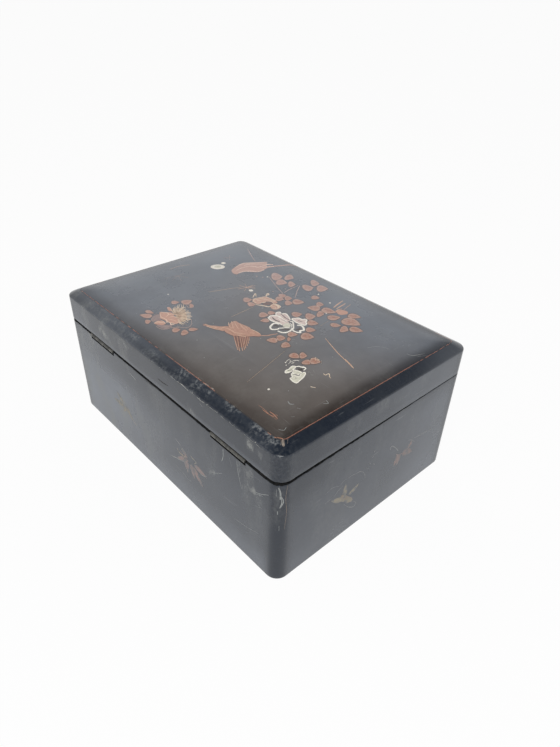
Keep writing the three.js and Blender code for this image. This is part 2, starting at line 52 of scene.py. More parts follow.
# The camera
# A phone's main lens, a good third of a metre from the box's near corner and above it. The picture
# was cropped a little off its middle, which is the small shift.
EYE = Vector((-0.3219, 0.2739, 0.3551))
AIM = Vector((-0.0215, -0.0175, 0.0570))
ROLL = 0.0434
PHOTO_WIDTH, PHOTO_HEIGHT = 560, 747
FOCAL_PIXELS = 569.3
OPTICAL_CENTRE = (286.0, 382.9)
SENSOR_WIDTH = 36.0

camera = bpy.data.objects.new("camera", bpy.data.cameras.new("camera"))
bpy.context.scene.collection.objects.link(camera)
bpy.context.scene.camera = camera
camera.data.sensor_width = SENSOR_WIDTH
camera.data.lens = SENSOR_WIDTH * FOCAL_PIXELS / PHOTO_HEIGHT
camera.data.shift_x = (PHOTO_WIDTH / 2 - OPTICAL_CENTRE[0]) / PHOTO_HEIGHT
camera.data.shift_y = (OPTICAL_CENTRE[1] - PHOTO_HEIGHT / 2) / PHOTO_HEIGHT
camera.data.clip_start = 0.01
camera.rotation_mode = "QUATERNION"
camera.location = EYE
camera.rotation_quaternion = (AIM - EYE).to_track_quat("-Z", "Y") @ Quaternion((0, 0, 1), ROLL)


# The studio: a white floor and backdrop under a dark ceiling, and one soft lamp
# The lacquer is a dark mirror, so what it shows is mostly this room: the backdrop in the lid's top,
# the floor in the sides, and the dark ceiling in the lid's bevel.
def new_material(name):
    """An empty material and its node tree."""
    material = bpy.data.materials.new(name)
    material.use_nodes = True
    tree = material.node_tree
    tree.nodes.clear()
    return material, tree


def add_node(tree, kind, inputs=None, **settings):
    """A node of this kind, each input set to a value or linked from a socket."""
    made = tree.nodes.new(kind)
    for name, value in settings.items():
        setattr(made, name, value)
    for name, value in (inputs or {}).items():
        if isinstance(value, bpy.types.NodeSocket):
            tree.links.new(value, made.inputs[name])
        else:
            made.inputs[name].default_value = value
    return made


def maths(tree, operation, first, second=0.0, clamp=False):
    """The output of a math node on two values or sockets."""
    made = add_node(tree, "ShaderNodeMath", {0: first, 1: second}, operation=operation, use_clamp=clamp)
    return made.outputs[0]


def ramp(tree, value, stops, easing="LINEAR"):
    """A ramp through (position, grey) stops."""
    made = add_node(tree, "ShaderNodeValToRGB", {"Fac": value})
    made.color_ramp.interpolation = easing
    elements = made.color_ramp.elements
    while len(elements) < len(stops):
        elements.new(1.0)
    for element, (position, tone) in zip(elements, stops):
        element.position = position
        element.color = (tone, tone, tone, 1)
    return made.outputs["Color"]


BACKDROP_TOP = 0.50
ROOM_TONES = [
    (0.0, 1.0), (BACKDROP_TOP, 1.0), (0.56, 0.84), (0.62, 0.58), (0.66, 0.40), (0.72, 0.24), (0.87, 0.12),
    (1.0, 0.10),
]
FLOOR_TONE = 0.86
FLOOR_GLOW = 0.94

world = bpy.data.worlds.new("studio")
bpy.context.scene.world = world
world.use_nodes = True
sky = world.node_tree
sky.nodes.clear()
direction = add_node(sky, "ShaderNodeTexCoord").outputs["Generated"]
height = add_node(sky, "ShaderNodeSeparateXYZ", {0: direction}).outputs["Z"]
room = add_node(sky, "ShaderNodeBackground", {"Color": ramp(sky, height, ROOM_TONES)})
white = add_node(sky, "ShaderNodeBackground", {"Color": (1, 1, 1, 1)})
path = add_node(sky, "ShaderNodeLightPath").outputs
mirrored = maths(sky, "MAXIMUM", path["Is Glossy Ray"], path["Is Transmission Ray"])
mirrored = maths(sky, "MULTIPLY", mirrored, maths(sky, "LESS_THAN", height, BACKDROP_TOP))
shown = maths(sky, "MAXIMUM", path["Is Camera Ray"], mirrored)
studio_light = add_node(sky, "ShaderNodeMixShader", {0: shown, 1: room.outputs[0], 2: white.outputs[0]})
add_node(sky, "ShaderNodeOutputWorld", {"Surface": studio_light.outputs[0]})

FLOOR_SIZE = 60.0
FLOOR_DROP = 0.1 * MM
floor_mesh = bpy.data.meshes.new("studio_floor")
floor_corners = []
for x, y in ((-1, -1), (1, -1), (1, 1), (-1, 1)):
    floor_corners.append((x * FLOOR_SIZE / 2, y * FLOOR_SIZE / 2, -FLOOR_DROP))
floor_mesh.from_pydata(floor_corners, [], [(0, 1, 2, 3)])
studio_floor = bpy.data.objects.new("studio_floor", floor_mesh)
bpy.context.scene.collection.objects.link(studio_floor)
paper, tree = new_material("studio_paper")
diffuse = add_node(tree, "ShaderNodeBsdfDiffuse", {"Color": (FLOOR_TONE, FLOOR_TONE, FLOOR_TONE, 1)})
glow = add_node(tree, "ShaderNodeEmission", {"Color": (1, 1, 1, 1)})
path = add_node(tree, "ShaderNodeLightPath").outputs
direct = maths(tree, "MAXIMUM", path["Is Camera Ray"], path["Is Glossy Ray"])
direct = maths(tree, "MAXIMUM", direct, path["Is Transmission Ray"])
share = maths(tree, "MULTIPLY", direct, FLOOR_GLOW)
paper_mix = add_node(tree, "ShaderNodeMixShader", {0: share, 1: diffuse.outputs[0], 2: glow.outputs[0]})
add_node(tree, "ShaderNodeOutputMaterial", {"Surface": paper_mix.outputs[0]})
floor_mesh.materials.append(paper)

LAMP_PLACE = Vector((-0.65, 0.75, 1.25))
LAMP_BREADTH = 0.9
LAMP_WATTS = 13.0
soft_lamp = bpy.data.lights.new("soft_lamp", "AREA")
soft_lamp.shape = "DISK"
soft_lamp.size = LAMP_BREADTH
soft_lamp.energy = LAMP_WATTS
lamp_holder = bpy.data.objects.new("soft_lamp", soft_lamp)
bpy.context.scene.collection.objects.link(lamp_holder)
lamp_holder.location = LAMP_PLACE
lamp_holder.rotation_mode = "QUATERNION"
lamp_holder.rotation_quaternion = (-LAMP_PLACE).to_track_quat("-Z", "Y")

bpy.context.scene.view_settings.view_transform = "Standard"


# The box: a floor and four walls of thin wood under one skin of black lacquer
# The walls are mitred and their corners rounded, and the rim is cut out for the hinges and the lock.
# The lacquer is grey with bloom and dust, and navy-black on the upright corners as painted shade.
outer_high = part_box("floor_board")[1]
HALF_LENGTH = outer_high.x
HALF_WIDTH = outer_high.y
FLOOR_TOP = outer_high.z
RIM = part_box("back_wall")[1].z
CORNER_RADIUS = 10 * MM
GLUE_LINE = 0.3 * MM
WALL = HALF_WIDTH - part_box("lip_back")[1].y - GLUE_LINE
FOOT_ROUNDING = 1.5 * MM
RIM_ROUNDING = (1.5 * MM, 2.0 * MM)
ARRIS = 0.4 * MM
CHIP = 0.12 * MM
CHIP_SCALE = 420.0
LEAST_RADIUS = 0.8 * MM
CORNER_STEPS = 14
EDGE_STEP = 3 * MM
HINGES = (1, 2)


def outline(inset, height, radius=None, chip=0.0):
    """The box's outline drawn in by inset, at a height, as a closed row of points."""
    radius = max(CORNER_RADIUS - inset, LEAST_RADIUS) if radius is None else radius
    x = HALF_LENGTH - inset - radius
    y = HALF_WIDTH - inset - radius
    points = []
    middles = [(x, y), (-x, y), (-x, -y), (x, -y)]
    for corner, (cx, cy) in enumerate(middles):
        start = corner * math.pi / 2
        for step in range(CORNER_STEPS):
            angle = start + math.pi / 2 * step / CORNER_STEPS
            points.append(Vector((cx + radius * math.cos(angle), cy + radius * math.sin(angle), height)))
        end = start + math.pi / 2
        reach = Vector((radius * math.cos(end), radius * math.sin(end), height))
        here = Vector((cx, cy, 0)) + reach
        after = Vector((*middles[(corner + 1) % 4], 0)) + reach
        side = HALF_LENGTH if corner % 2 == 0 else HALF_WIDTH
        steps = round(2 * side / EDGE_STEP)
        points += [here.lerp(after, step / steps) for step in range(steps)]
    if chip:
        for point in points:
            grain = noise.noise(point * CHIP_SCALE) + 0.5 * noise.noise(point * CHIP_SCALE * 3)
            inward = Vector((-point.x / HALF_LENGTH, -point.y / HALF_WIDTH, 0)).normalized()
            point += inward * chip * max(0.0, grain - 0.1)
    return points


def mesh_object(name, points, faces):
    """A new object in the scene with this mesh."""
    mesh = bpy.data.meshes.new(name)
    mesh.from_pydata(points, [], faces)
    mesh.update()
    made = bpy.data.objects.new(name, mesh)
    bpy.context.scene.collection.objects.link(made)
    return made


def skin(name, rings):
    """A closed mesh through rings of points; its first and last rings are filled."""
    count = len(rings[0])
    points = [point for ring in rings for point in ring]
    faces = [tuple(reversed(range(count)))]
    for start in range(0, len(points) - count, count):
        for i in range(count):
            j = (i + 1) % count
            faces.append((start + i, start + j, start + count + j, start + count + i))
    faces.append(tuple(range(len(points) - count, len(points))))
    return mesh_object(name, points, faces)


def smooth(piece, angle=35):
    """Shades the piece smooth, with a hard edge wherever its faces turn by more than the angle."""
    for face in piece.data.polygons:
        face.use_smooth = True
    piece.data.set_sharp_from_angle(angle=math.radians(angle))


def cut_blocks(piece, blocks):
    """Cuts each block, given by its two corners, out of the piece."""
    points, faces = [], []
    for low, high in blocks:
        start = len(points)
        for x in (low[0], high[0]):
            for y in (low[1], high[1]):
                for z in (low[2], high[2]):
                    points.append((x, y, z))
        for face in ((0, 1, 3, 2), (4, 6, 7, 5), (0, 4, 5, 1), (2, 3, 7, 6), (0, 2, 6, 4), (1, 5, 7, 3)):
            faces.append(tuple(start + i for i in face))
    cutter = mesh_object("cutter", points, faces)
    modifier = piece.modifiers.new("cut", "BOOLEAN")
    modifier.operation = "DIFFERENCE"
    modifier.solver = "EXACT"
    modifier.use_self = True
    modifier.object = cutter
    bpy.context.view_layer.update()
    evaluated = piece.evaluated_get(bpy.context.evaluated_depsgraph_get())
    result = bpy.data.meshes.new_from_object(evaluated)
    piece.modifiers.clear()
    piece.data = result
    bpy.data.objects.remove(cutter)


def grown(node, margin, up=0.0, back=0.0):
    """The corners of a node's box with a margin all round, and further up or back."""
    low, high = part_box(node)
    low = (low.x - margin, low.y - margin, low.z - margin)
    high = (high.x + margin, high.y + margin + back, high.z + margin + up)
    return low, high


def softened(start, end, steps=3):
    """(inset, height) points round the arris between two flats, from start's side to end's."""
    (i0, h0), (i1, h1) = start, end
    points = []
    for step in range(steps + 1):
        angle = math.pi / 2 * step / steps
        points.append((i0 + (i1 - i0) * (1 - math.cos(angle)), h0 + (h1 - h0) * math.sin(angle)))
    return points


def rise(value, start, end):
    """0 at start and 1 at end, with a smooth way between."""
    share = min(1.0, max(0.0, (value - start) / (end - start)))
    return share * share * (3 - 2 * share)


FOOT_STEPS = 5
WALL_ROWS = 36
INNER_COVE = 1.5 * MM
profile = []
for step in range(FOOT_STEPS + 1):
    angle = math.pi / 2 * step / FOOT_STEPS
    profile.append((FOOT_ROUNDING * (1 - math.sin(angle)), FOOT_ROUNDING * (1 - math.cos(angle))))
for row in range(1, WALL_ROWS):
    profile.append((0.0, FOOT_ROUNDING + (RIM - RIM_ROUNDING[1] - FOOT_ROUNDING) * row / WALL_ROWS))
rings = [outline(2 * FOOT_ROUNDING, 0)] + [outline(inset, height) for inset, height in profile]


def worn_open(inset, height, level, least):
    """The outline for a rounded edge at a level, most worn towards the back and least towards the front."""
    ring = outline(inset, height, chip=CHIP)
    sharper = outline(inset * least, level + (height - level) * least)
    return [a.lerp(b, rise(b.y, -0.02, 0.07)) for a, b in zip(sharper, ring)]


for inset, height in softened((0, RIM - RIM_ROUNDING[1]), (RIM_ROUNDING[0], RIM), 10):
    rings.append(worn_open(inset, height, RIM, 0.3))
inner_profile = [(WALL - ARRIS, RIM), (WALL, RIM - ARRIS), (WALL, FLOOR_TOP + INNER_COVE)]
inner_profile += [(WALL + 0.3 * INNER_COVE, FLOOR_TOP + 0.3 * INNER_COVE), (WALL + INNER_COVE, FLOOR_TOP)]
inner_profile.append((WALL + 2 * INNER_COVE, FLOOR_TOP))
rings += [outline(inset, height) for inset, height in inner_profile]
box_skin = skin("box_lacquer", rings)

HOUSING_GAP = 0.3 * MM
BARREL_DEPTH = 3.7 * MM
BARREL_SHADOW = 1.5 * MM
housings = []
for number in HINGES:
    low, high = grown(f"hinge_{number}_box_leaf", HOUSING_GAP, up=3 * MM, back=4 * MM)
    leaf_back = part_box(f"hinge_{number}_box_leaf")[1].y
    housings.append((low, high))
    housings.append(((low[0], leaf_back - BARREL_DEPTH, low[2] - BARREL_SHADOW), high))
housings.append(grown("lock_face_plate", HOUSING_GAP, up=3 * MM))
housings.append(grown("lock_case", HOUSING_GAP, up=3 * MM))
cut_blocks(box_skin, housings)
smooth(box_skin)

NAVY_BLACK = (0.008, 0.013, 0.023)
BROWN_BLACK = (0.022, 0.015, 0.012)
BLOOM = (0.170, 0.190, 0.225)
BROWN_BLOOM = (0.235, 0.207, 0.188)
DUST = (0.25, 0.255, 0.24)
SCUFFED = (0.19, 0.20, 0.205)
BARE_GROUND = (0.42, 0.40, 0.35)
SPECK = (0.42, 0.41, 0.38)
SCRATCH = (0.34, 0.35, 0.36)
GRAIN_ROUGHNESS = 0.64
LACQUER_IOR = 1.5


def mix_colours(tree, share, first, second):
    """The first colour with this share of the second, each a value or a socket."""
    made = tree.nodes.new("ShaderNodeMix")
    made.data_type = "RGBA"
    for socket, value in ((made.inputs[0], share), (made.inputs[6], first), (made.inputs[7], second)):
        if isinstance(value, bpy.types.NodeSocket):
            tree.links.new(value, socket)
        else:
            socket.default_value = (*value, 1)
    return made.outputs[2]


def grainy(tree, place, scale, detail, stops=None, stretch=(1, 1, 1), turn=(0, 0, 0)):
    """Noise of a scale in features a metre, stretched and turned, through a ramp where stops are given."""
    if stretch != (1, 1, 1):
        placing = {"Vector": place, "Rotation": turn, "Scale": stretch}
        place = add_node(tree, "ShaderNodeMapping", placing).outputs[0]
    grain = {"Vector": place, "Scale": scale, "Detail": detail, "Roughness": GRAIN_ROUGHNESS}
    made = add_node(tree, "ShaderNodeTexNoise", grain)
    return ramp(tree, made.outputs["Fac"], stops) if stops else made.outputs["Fac"]


def lacquer(name, roughness):
    """Old black lacquer: cloudy bloom that also carries painted light and shade, patches of dust, fine
    scratches, pale specks and worn arrises.
    """
    material, tree = new_material(name)
    place = add_node(tree, "ShaderNodeTexCoord").outputs["Object"]
    haze, dust, scuff, wear, warm = [
        add_node(tree, "ShaderNodeAttribute", attribute_name=mark).outputs["Fac"]
        for mark in ("haze", "dust", "scuff", "wear", "warm")
    ]
    # The bloom attribute greys the black, and with it the painted shade and painted highlights that it also
    # carries.
    cloud = grainy(tree, place, 15, 8, [(0.34, 0.0), (0.68, 1.0)])
    uneven = maths(tree, "ADD", maths(tree, "MULTIPLY", cloud, 0.5), 0.75)
    haze_share = maths(tree, "MULTIPLY", haze, uneven, clamp=True)
    black = mix_colours(tree, warm, NAVY_BLACK, BROWN_BLACK)
    bloom = mix_colours(tree, warm, BLOOM, BROWN_BLOOM)
    base = mix_colours(tree, haze_share, black, bloom)
    mottle = grainy(tree, place, 420, 9, [(0.44, 0.0), (0.66, 1.0)])
    base = mix_colours(tree, maths(tree, "MULTIPLY", scuff, mottle, clamp=True), base, SCUFFED)
    patches = grainy(tree, place, 1, 9, [(0.49, 0.0), (0.64, 1.0)], (38, 38, 15), (0.25, 0.15, 0.3))
    powder = grainy(tree, place, 340, 4, [(0.36, 0.35), (0.62, 1.0)])
    dust_share = maths(tree, "MULTIPLY", dust, maths(tree, "MULTIPLY", patches, powder))
    base = mix_colours(tree, dust_share, base, DUST)
    spots = add_node(tree, "ShaderNodeTexVoronoi", {"Vector": place, "Scale": 240})
    speck = ramp(tree, spots.outputs["Distance"], [(0.0, 1.0), (0.05, 0.0)])
    speck = maths(tree, "MULTIPLY", speck, grainy(tree, place, 60, 2, [(0.58, 0.0), (0.66, 0.5)]))
    base = mix_colours(tree, speck, base, SPECK)
    scratch = grainy(tree, place, 1, 3, [(0.67, 0.0), (0.74, 0.16)], (26, 800, 420), (0.3, 0.2, 0.9))
    hairs = grainy(tree, place, 1, 3, [(0.67, 0.0), (0.74, 0.14)], (700, 30, 300), (0.1, 0.4, 0.25))
    scratch = maths(tree, "MAXIMUM", scratch, hairs)
    base = mix_colours(tree, scratch, base, SCRATCH)
    rubbed = maths(tree, "ADD", grainy(tree, place, 420, 6), maths(tree, "MULTIPLY", wear, 0.40))
    bare = ramp(tree, rubbed, [(0.80, 0.0), (0.86, 1.0)])
    base = mix_colours(tree, bare, base, BARE_GROUND)
    rough = maths(tree, "ADD", maths(tree, "MULTIPLY", haze_share, 0.16), roughness)
    rough = maths(tree, "ADD", rough, maths(tree, "MULTIPLY", dust_share, 0.35))
    rough = maths(tree, "ADD", rough, maths(tree, "MULTIPLY", bare, 0.35), clamp=True)
    relief = maths(tree, "ADD", grainy(tree, place, 45, 3), maths(tree, "MULTIPLY", scratch, -0.35))
    relief = maths(tree, "ADD", relief, maths(tree, "MULTIPLY", bare, -0.2))
    bump = add_node(tree, "ShaderNodeBump", {"Height": relief, "Strength": 0.25, "Distance": 0.15 * MM})
    shader = add_node(tree, "ShaderNodeBsdfPrincipled", {
        "Base Color": base, "Roughness": rough, "IOR": LACQUER_IOR, "Normal": bump.outputs["Normal"],
    })
    add_node(tree, "ShaderNodeOutputMaterial", {"Surface": shader.outputs[0]})
    return material


def gap_shade_and_grime(name):
    """Painted shade in a gap, with the dirt in it: black, dull, with hardly any shine, and a little uneven.
    """
    material, tree = new_material(name)
    place = add_node(tree, "ShaderNodeTexCoord").outputs["Object"]
    patchiness = grainy(tree, place, 500, 4, [(0.35, 0.0), (0.70, 1.0)])
    base = mix_colours(tree, patchiness, (0.004, 0.005, 0.006), (0.020, 0.019, 0.018))
    shader = add_node(tree, "ShaderNodeBsdfPrincipled", {"Base Color": base, "Roughness": 0.9, "IOR": 1.08})
    add_node(tree, "ShaderNodeOutputMaterial", {"Surface": shader.outputs[0]})
    return material


def blacken(piece, material, in_gap):
    """Gives the faces whose middle lies in a gap the painted shade's material."""
    piece.data.materials.append(material)
    for face in piece.data.polygons:
        face.material_index = 1 if in_gap(face.center) else 0


def gaping(co):
    """How far the worn seam stands open: 1 at the back, and closing along the ends to the front."""
    return rise(co.y, -0.06, 0.07) * (1 - 0.35 * rise(co.x, -0.12, 0.12))


def mark(piece, **rules):
    """Stores on every point of the piece what each rule makes of its place, from 0 to 1."""
    for name, rule in rules.items():
        layer = piece.data.attributes.new(name, "FLOAT", "POINT")
        layer.data.foreach_set("value", [rule(vertex.co) for vertex in piece.data.vertices])


def off_corner(co):
    """0 on the rounding of an upright corner and 1 from 7 mm beyond it."""
    past = max(HALF_LENGTH - CORNER_RADIUS - abs(co.x), HALF_WIDTH - CORNER_RADIUS - abs(co.y))
    return rise(past, -5 * MM, 7 * MM)


def patchy(co, scale=45):
    """A slow change between 0 and 1 over the piece."""
    return 0.5 + 0.5 * noise.noise(co * scale)


def along(co, smears):
    """1 on any of the smears, (x, z, x, z, width) in millimetres on the back, and 0 away from them."""
    most = 0.0
    for x0, z0, x1, z1, width in smears:
        start, end = Vector((x0, z0)) * MM, Vector((x1, z1)) * MM
        here = Vector((co.x, co.z)) - start
        share = min(1.0, max(0.0, here.dot(end - start) / (end - start).length_squared))
        away = (here - (end - start) * share).length
        most = max(most, 1 - rise(away, 0.2 * width * MM, 0.8 * width * MM))
    return most


BOX_SMEARS = [
    (-85, 91, -83, 78, 4), (-100, 90, -104, 70, 4), (-69, 57, -80, 63, 3), (-116, 75, -133, 85, 5),
    (39, 88, 30, 86, 3), (101, 90, 104, 99, 6), (-96, 84, -92, 92, 5), (70, 84, 58, 76, 4),
]


def inside_box(co):
    """Whether a point is on the floor or the walls inside the box."""
    return min(HALF_LENGTH - abs(co.x), HALF_WIDTH - abs(co.y)) > 0.5 * WALL and co.z > 0.5 * FLOOR_TOP


def box_haze(co):
    """Bloom on the box, paler at the foot and far end; painted shade on the upright corners and under the
    lid.
    """
    if inside_box(co):
        return 0.07
    # Painted shade under the lid's overhang: less bloom in the 4 mm below the rim.
    painted_shade_under_lid = 1 - 0.6 * rise(co.z, RIM - 4 * MM, RIM)
    foot = 1 - rise(co.z, 2 * MM, 30 * MM)
    high = rise(co.z, 0.055, 0.090)
    if co.y > HALF_WIDTH - CORNER_RADIUS / 2:
        middle = rise(co.z, 0.010, 0.030) * (1 - rise(co.z, 0.055, 0.080))
        far = rise(co.x, -0.03, 0.09)
        haze = 0.16 + 0.24 * rise(co.x, 0.02, 0.13) + 0.36 * middle * far + 0.29 * foot - 0.10 * high
    else:
        near = rise(co.y, -0.01, 0.08) * high
        far = rise(-co.y, 0.02, 0.08) * (1 - rise(co.z, 0.075, RIM))
        haze = 0.21 - 0.19 * near + 0.22 * far + 0.09 * foot
        if co.y < -HALF_WIDTH + CORNER_RADIUS / 2:
            haze = 0.22 + 0.24 * foot + 0.16 * rise(abs(co.x), 0.03, 0.12)
    # No bloom on the upright corners: painted shade for their darker reflection.
    return haze * painted_shade_under_lid * (off_corner(co) - 0.04) * rise(co.z, 0.0, 3 * MM)


def box_dust(co):
    """A thin dust all over, thicker towards the far end of the back and in a few smears on it."""
    if inside_box(co):
        return 0.05
    on_back = rise(co.y, 0.095, HALF_WIDTH)
    smears = 0.35 * rise(co.z, 0.05, 0.08) * (1 - rise(co.z, 0.088, 0.095)) * (1 - rise(co.x, -0.10, -0.06))
    on_corner = 0.09 * (1 - off_corner(co))
    far = 0.55 * rise(co.x, -0.02, 0.10)
    return 0.10 - on_corner + on_back * (far + smears + 1.5 * along(co, BOX_SMEARS))


def box_scuff(co):
    """Fine scuffs, mostly high on the near upright corner."""
    on_corner = 1 - off_corner(co)
    at_near_corner = on_corner if co.x < 0 < co.y else 0.0
    return 0.02 + 0.10 * at_near_corner * rise(co.z, 0.05, 0.08)


def box_wear(co):
    """Bare ground in patches along the rim and along the foot."""
    arris = max(0.35 * (1 - abs(co.z - RIM + 2 * MM) / (1.5 * MM)), 1 - co.z / (1.2 * MM), 0.0)
    return arris * patchy(co, 90)


box_lacquer = lacquer("box_black_lacquer", 0.20)
box_skin.data.materials.clear()
box_skin.data.materials.append(box_lacquer)
mark(box_skin, haze=box_haze, dust=box_dust, scuff=box_scuff, wear=box_wear)


def in_box_gap(co):
    """Whether a face is in the seam under the lid or in a pocket that holds a hinge or the lock."""
    inset = min(HALF_LENGTH - abs(co.x), HALF_WIDTH - abs(co.y))
    in_rim = 0.3 * MM < inset < WALL - 0.1 * MM
    in_pocket = off_corner(co) == 1 and in_rim and RIM - 9 * MM < co.z < RIM - 0.1 * MM
    # The painted shade reaches further down from the rim where the seam stands open.
    reach = (0.15 + 1.1 * gaping(co) + 0.35 * rise(co.y, 0.085, 0.1) + 0.3 * noise.noise(co * 400)) * MM
    return inset < 0.5 * WALL and (in_pocket or co.z > RIM - reach)


# The faces in the seam and in the pockets are made black and dull: painted shade, with the dirt there.
seam_shade_and_grime = gap_shade_and_grime("seam_shade_and_grime")
blacken(box_skin, seam_shade_and_grime, in_box_gap)
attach(box_skin, "box")
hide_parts("floor_board", "front_wall", "back_wall", "left_wall", "right_wall")


# The lip: four thin strips glued inside the walls
# They stand a little above the rim, with a rounded top, so that the lid finds its place.
LIP_THICKNESS = 2.5 * MM
LIP_ROUNDING = 0.8 * MM
LIP_OUTER = WALL + GLUE_LINE
LIP_INNER = LIP_OUTER + LIP_THICKNESS
lip_low, lip_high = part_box("lip_back")


def hoop(name, rings):
    """A closed mesh through rings that come back to the first one."""
    count = len(rings[0])
    points = [point for ring in rings for point in ring]
    faces = []
    for ring in range(len(rings)):
        start, after = ring * count, (ring + 1) % len(rings) * count
        for i in range(count):
            j = (i + 1) % count
            faces.append((start + i, start + j, after + j, after + i))
    return mesh_object(name, points, faces)


eased = 0.3 * LIP_ROUNDING
lip_profile = [
    (LIP_OUTER, lip_low.z), (LIP_OUTER, lip_high.z - LIP_ROUNDING), (LIP_OUTER + eased, lip_high.z - eased),
    (LIP_OUTER + LIP_ROUNDING, lip_high.z), (LIP_INNER - LIP_ROUNDING, lip_high.z),
    (LIP_INNER - eased, lip_high.z - eased), (LIP_INNER, lip_high.z - LIP_ROUNDING), (LIP_INNER, lip_low.z),
]
lip = hoop("lip", [outline(inset, height, radius=0.4 * MM) for inset, height in lip_profile])
smooth(lip)
lip.data.materials.append(lacquer("lip_black_lacquer", 0.26))
mark(lip, haze=lambda co: 0.12, wear=lambda co: 0.5 * rise(co.z, lip_high.z - LIP_ROUNDING, lip_high.z))
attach(lip, "box")
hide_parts("lip_front", "lip_right", "lip_back", "lip_left")


# The lid: four rails under a bevelled and gently crowned panel, one skin of the same lacquer
# The bevel is rubbed navy-black, and the upright corners are navy-black as painted shade. The top is grey
# with bloom, paler to the far corner as painted sheen, and brown where the black has worn thin at the near
# corner.
LID_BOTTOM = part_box("lid_back_rail")[0].z
LID_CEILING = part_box("lid_panel")[0].z
LID_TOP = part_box("lid_panel")[1].z
PANEL_EDGE = 2.5 * MM
BEVEL_BOTTOM = LID_CEILING + PANEL_EDGE
BEVEL_WIDTH = 9.2 * MM
BEVEL_RISE = 4.7 * MM
BEVEL_TOP = BEVEL_BOTTOM + BEVEL_RISE
BEVEL_SWELL = 0.2 * MM
EDGE_ROUNDING = 1.5 * MM
LOWER_ROUNDING = (1.0 * MM, 1.3 * MM)
CREASE_RADIUS = 5 * MM
CROWN_REACH = 40 * MM
CROWN_RISE = LID_TOP - BEVEL_TOP
CROWN_ROWS = 18
BEVEL_ROWS = 8
LID_ROWS = 10
EDGE_STEPS = 5

rings = [outline(WALL + 2 * INNER_COVE, LID_CEILING), outline(WALL + INNER_COVE, LID_CEILING)]
rings.append(outline(WALL, LID_CEILING - INNER_COVE))
rings += [outline(WALL, LID_BOTTOM + ARRIS), outline(WALL - ARRIS, LID_BOTTOM)]
lower_low, lower_high = (LOWER_ROUNDING[0], LID_BOTTOM), (0, LID_BOTTOM + LOWER_ROUNDING[1])
for inset, height in reversed(softened(lower_high, lower_low, 9)):
    rings.append(worn_open(inset, height, LID_BOTTOM, 0.5))
edge_turn = math.pi / 2 - math.atan2(BEVEL_RISE, BEVEL_WIDTH)
edge_low = BEVEL_BOTTOM - EDGE_ROUNDING * math.tan(edge_turn / 2)
for row in range(1, LID_ROWS):
    rings.append(outline(0, lower_high[1] + (edge_low - lower_high[1]) * row / LID_ROWS))
for step in range(EDGE_STEPS + 1):
    angle = edge_turn * step / EDGE_STEPS
    inset = EDGE_ROUNDING * (1 - math.cos(angle))
    rings.append(outline(inset, edge_low + EDGE_ROUNDING * math.sin(angle), chip=CHIP))
edge_inset = EDGE_ROUNDING * (1 - math.cos(edge_turn))
for row in range(1, BEVEL_ROWS + 1):
    share = row / BEVEL_ROWS
    inset = edge_inset + (BEVEL_WIDTH - edge_inset) * share
    height = BEVEL_BOTTOM + BEVEL_RISE * inset / BEVEL_WIDTH + BEVEL_SWELL * math.sin(math.pi * share)
    radius = CORNER_RADIUS - edge_inset + (CREASE_RADIUS - CORNER_RADIUS + edge_inset) * share
    rings.append(outline(inset, height, radius=radius))
for row in range(1, CROWN_ROWS + 1):
    share = row / CROWN_ROWS
    height = BEVEL_TOP + CROWN_RISE * (1 - (1 - share) ** 3)
    rings.append(outline(BEVEL_WIDTH + CROWN_REACH * share, height, radius=CREASE_RADIUS))
lid_skin = skin("lid_lacquer", rings)

BARREL_ROOM = 0.9 * MM
grooves = []
for number in HINGES:
    low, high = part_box(f"hinge_{number}_box_leaf")
    groove_low = (low.x - HOUSING_GAP, high.y - BARREL_DEPTH, LID_BOTTOM - 3 * MM)
    groove_high = (high.x + HOUSING_GAP, high.y + 4 * MM, LID_BOTTOM + BARREL_ROOM)
    grooves.append((groove_low, groove_high))
staple_low, staple_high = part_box("staple_plate")
grooves.append((
    (staple_low.x - HOUSING_GAP, staple_low.y - HOUSING_GAP, LID_BOTTOM - 3 * MM),
    (staple_high.x + HOUSING_GAP, staple_high.y + HOUSING_GAP, staple_high.z),
))
cut_blocks(lid_skin, grooves)
smooth(lid_skin)


def from_edge(co):
    """How far a point lies in from the nearest side."""
    return min(HALF_LENGTH - abs(co.x), HALF_WIDTH - abs(co.y))


def on_top(co):
    """1 on the lid's top and 0 on its bevel and sides."""
    return 1.0 if from_edge(co) > BEVEL_WIDTH - 0.2 * MM else 0.0


def towards_back(co):
    """1 where the nearest edge of the lid is the back one, 0 by the other three."""
    return rise((HALF_LENGTH - abs(co.x)) - (HALF_WIDTH - co.y), -3 * MM, 3 * MM)


def inside_lid(co):
    """Whether a point is on the lid's hollow underside."""
    return from_edge(co) > 0.5 * WALL and co.z < BEVEL_BOTTOM


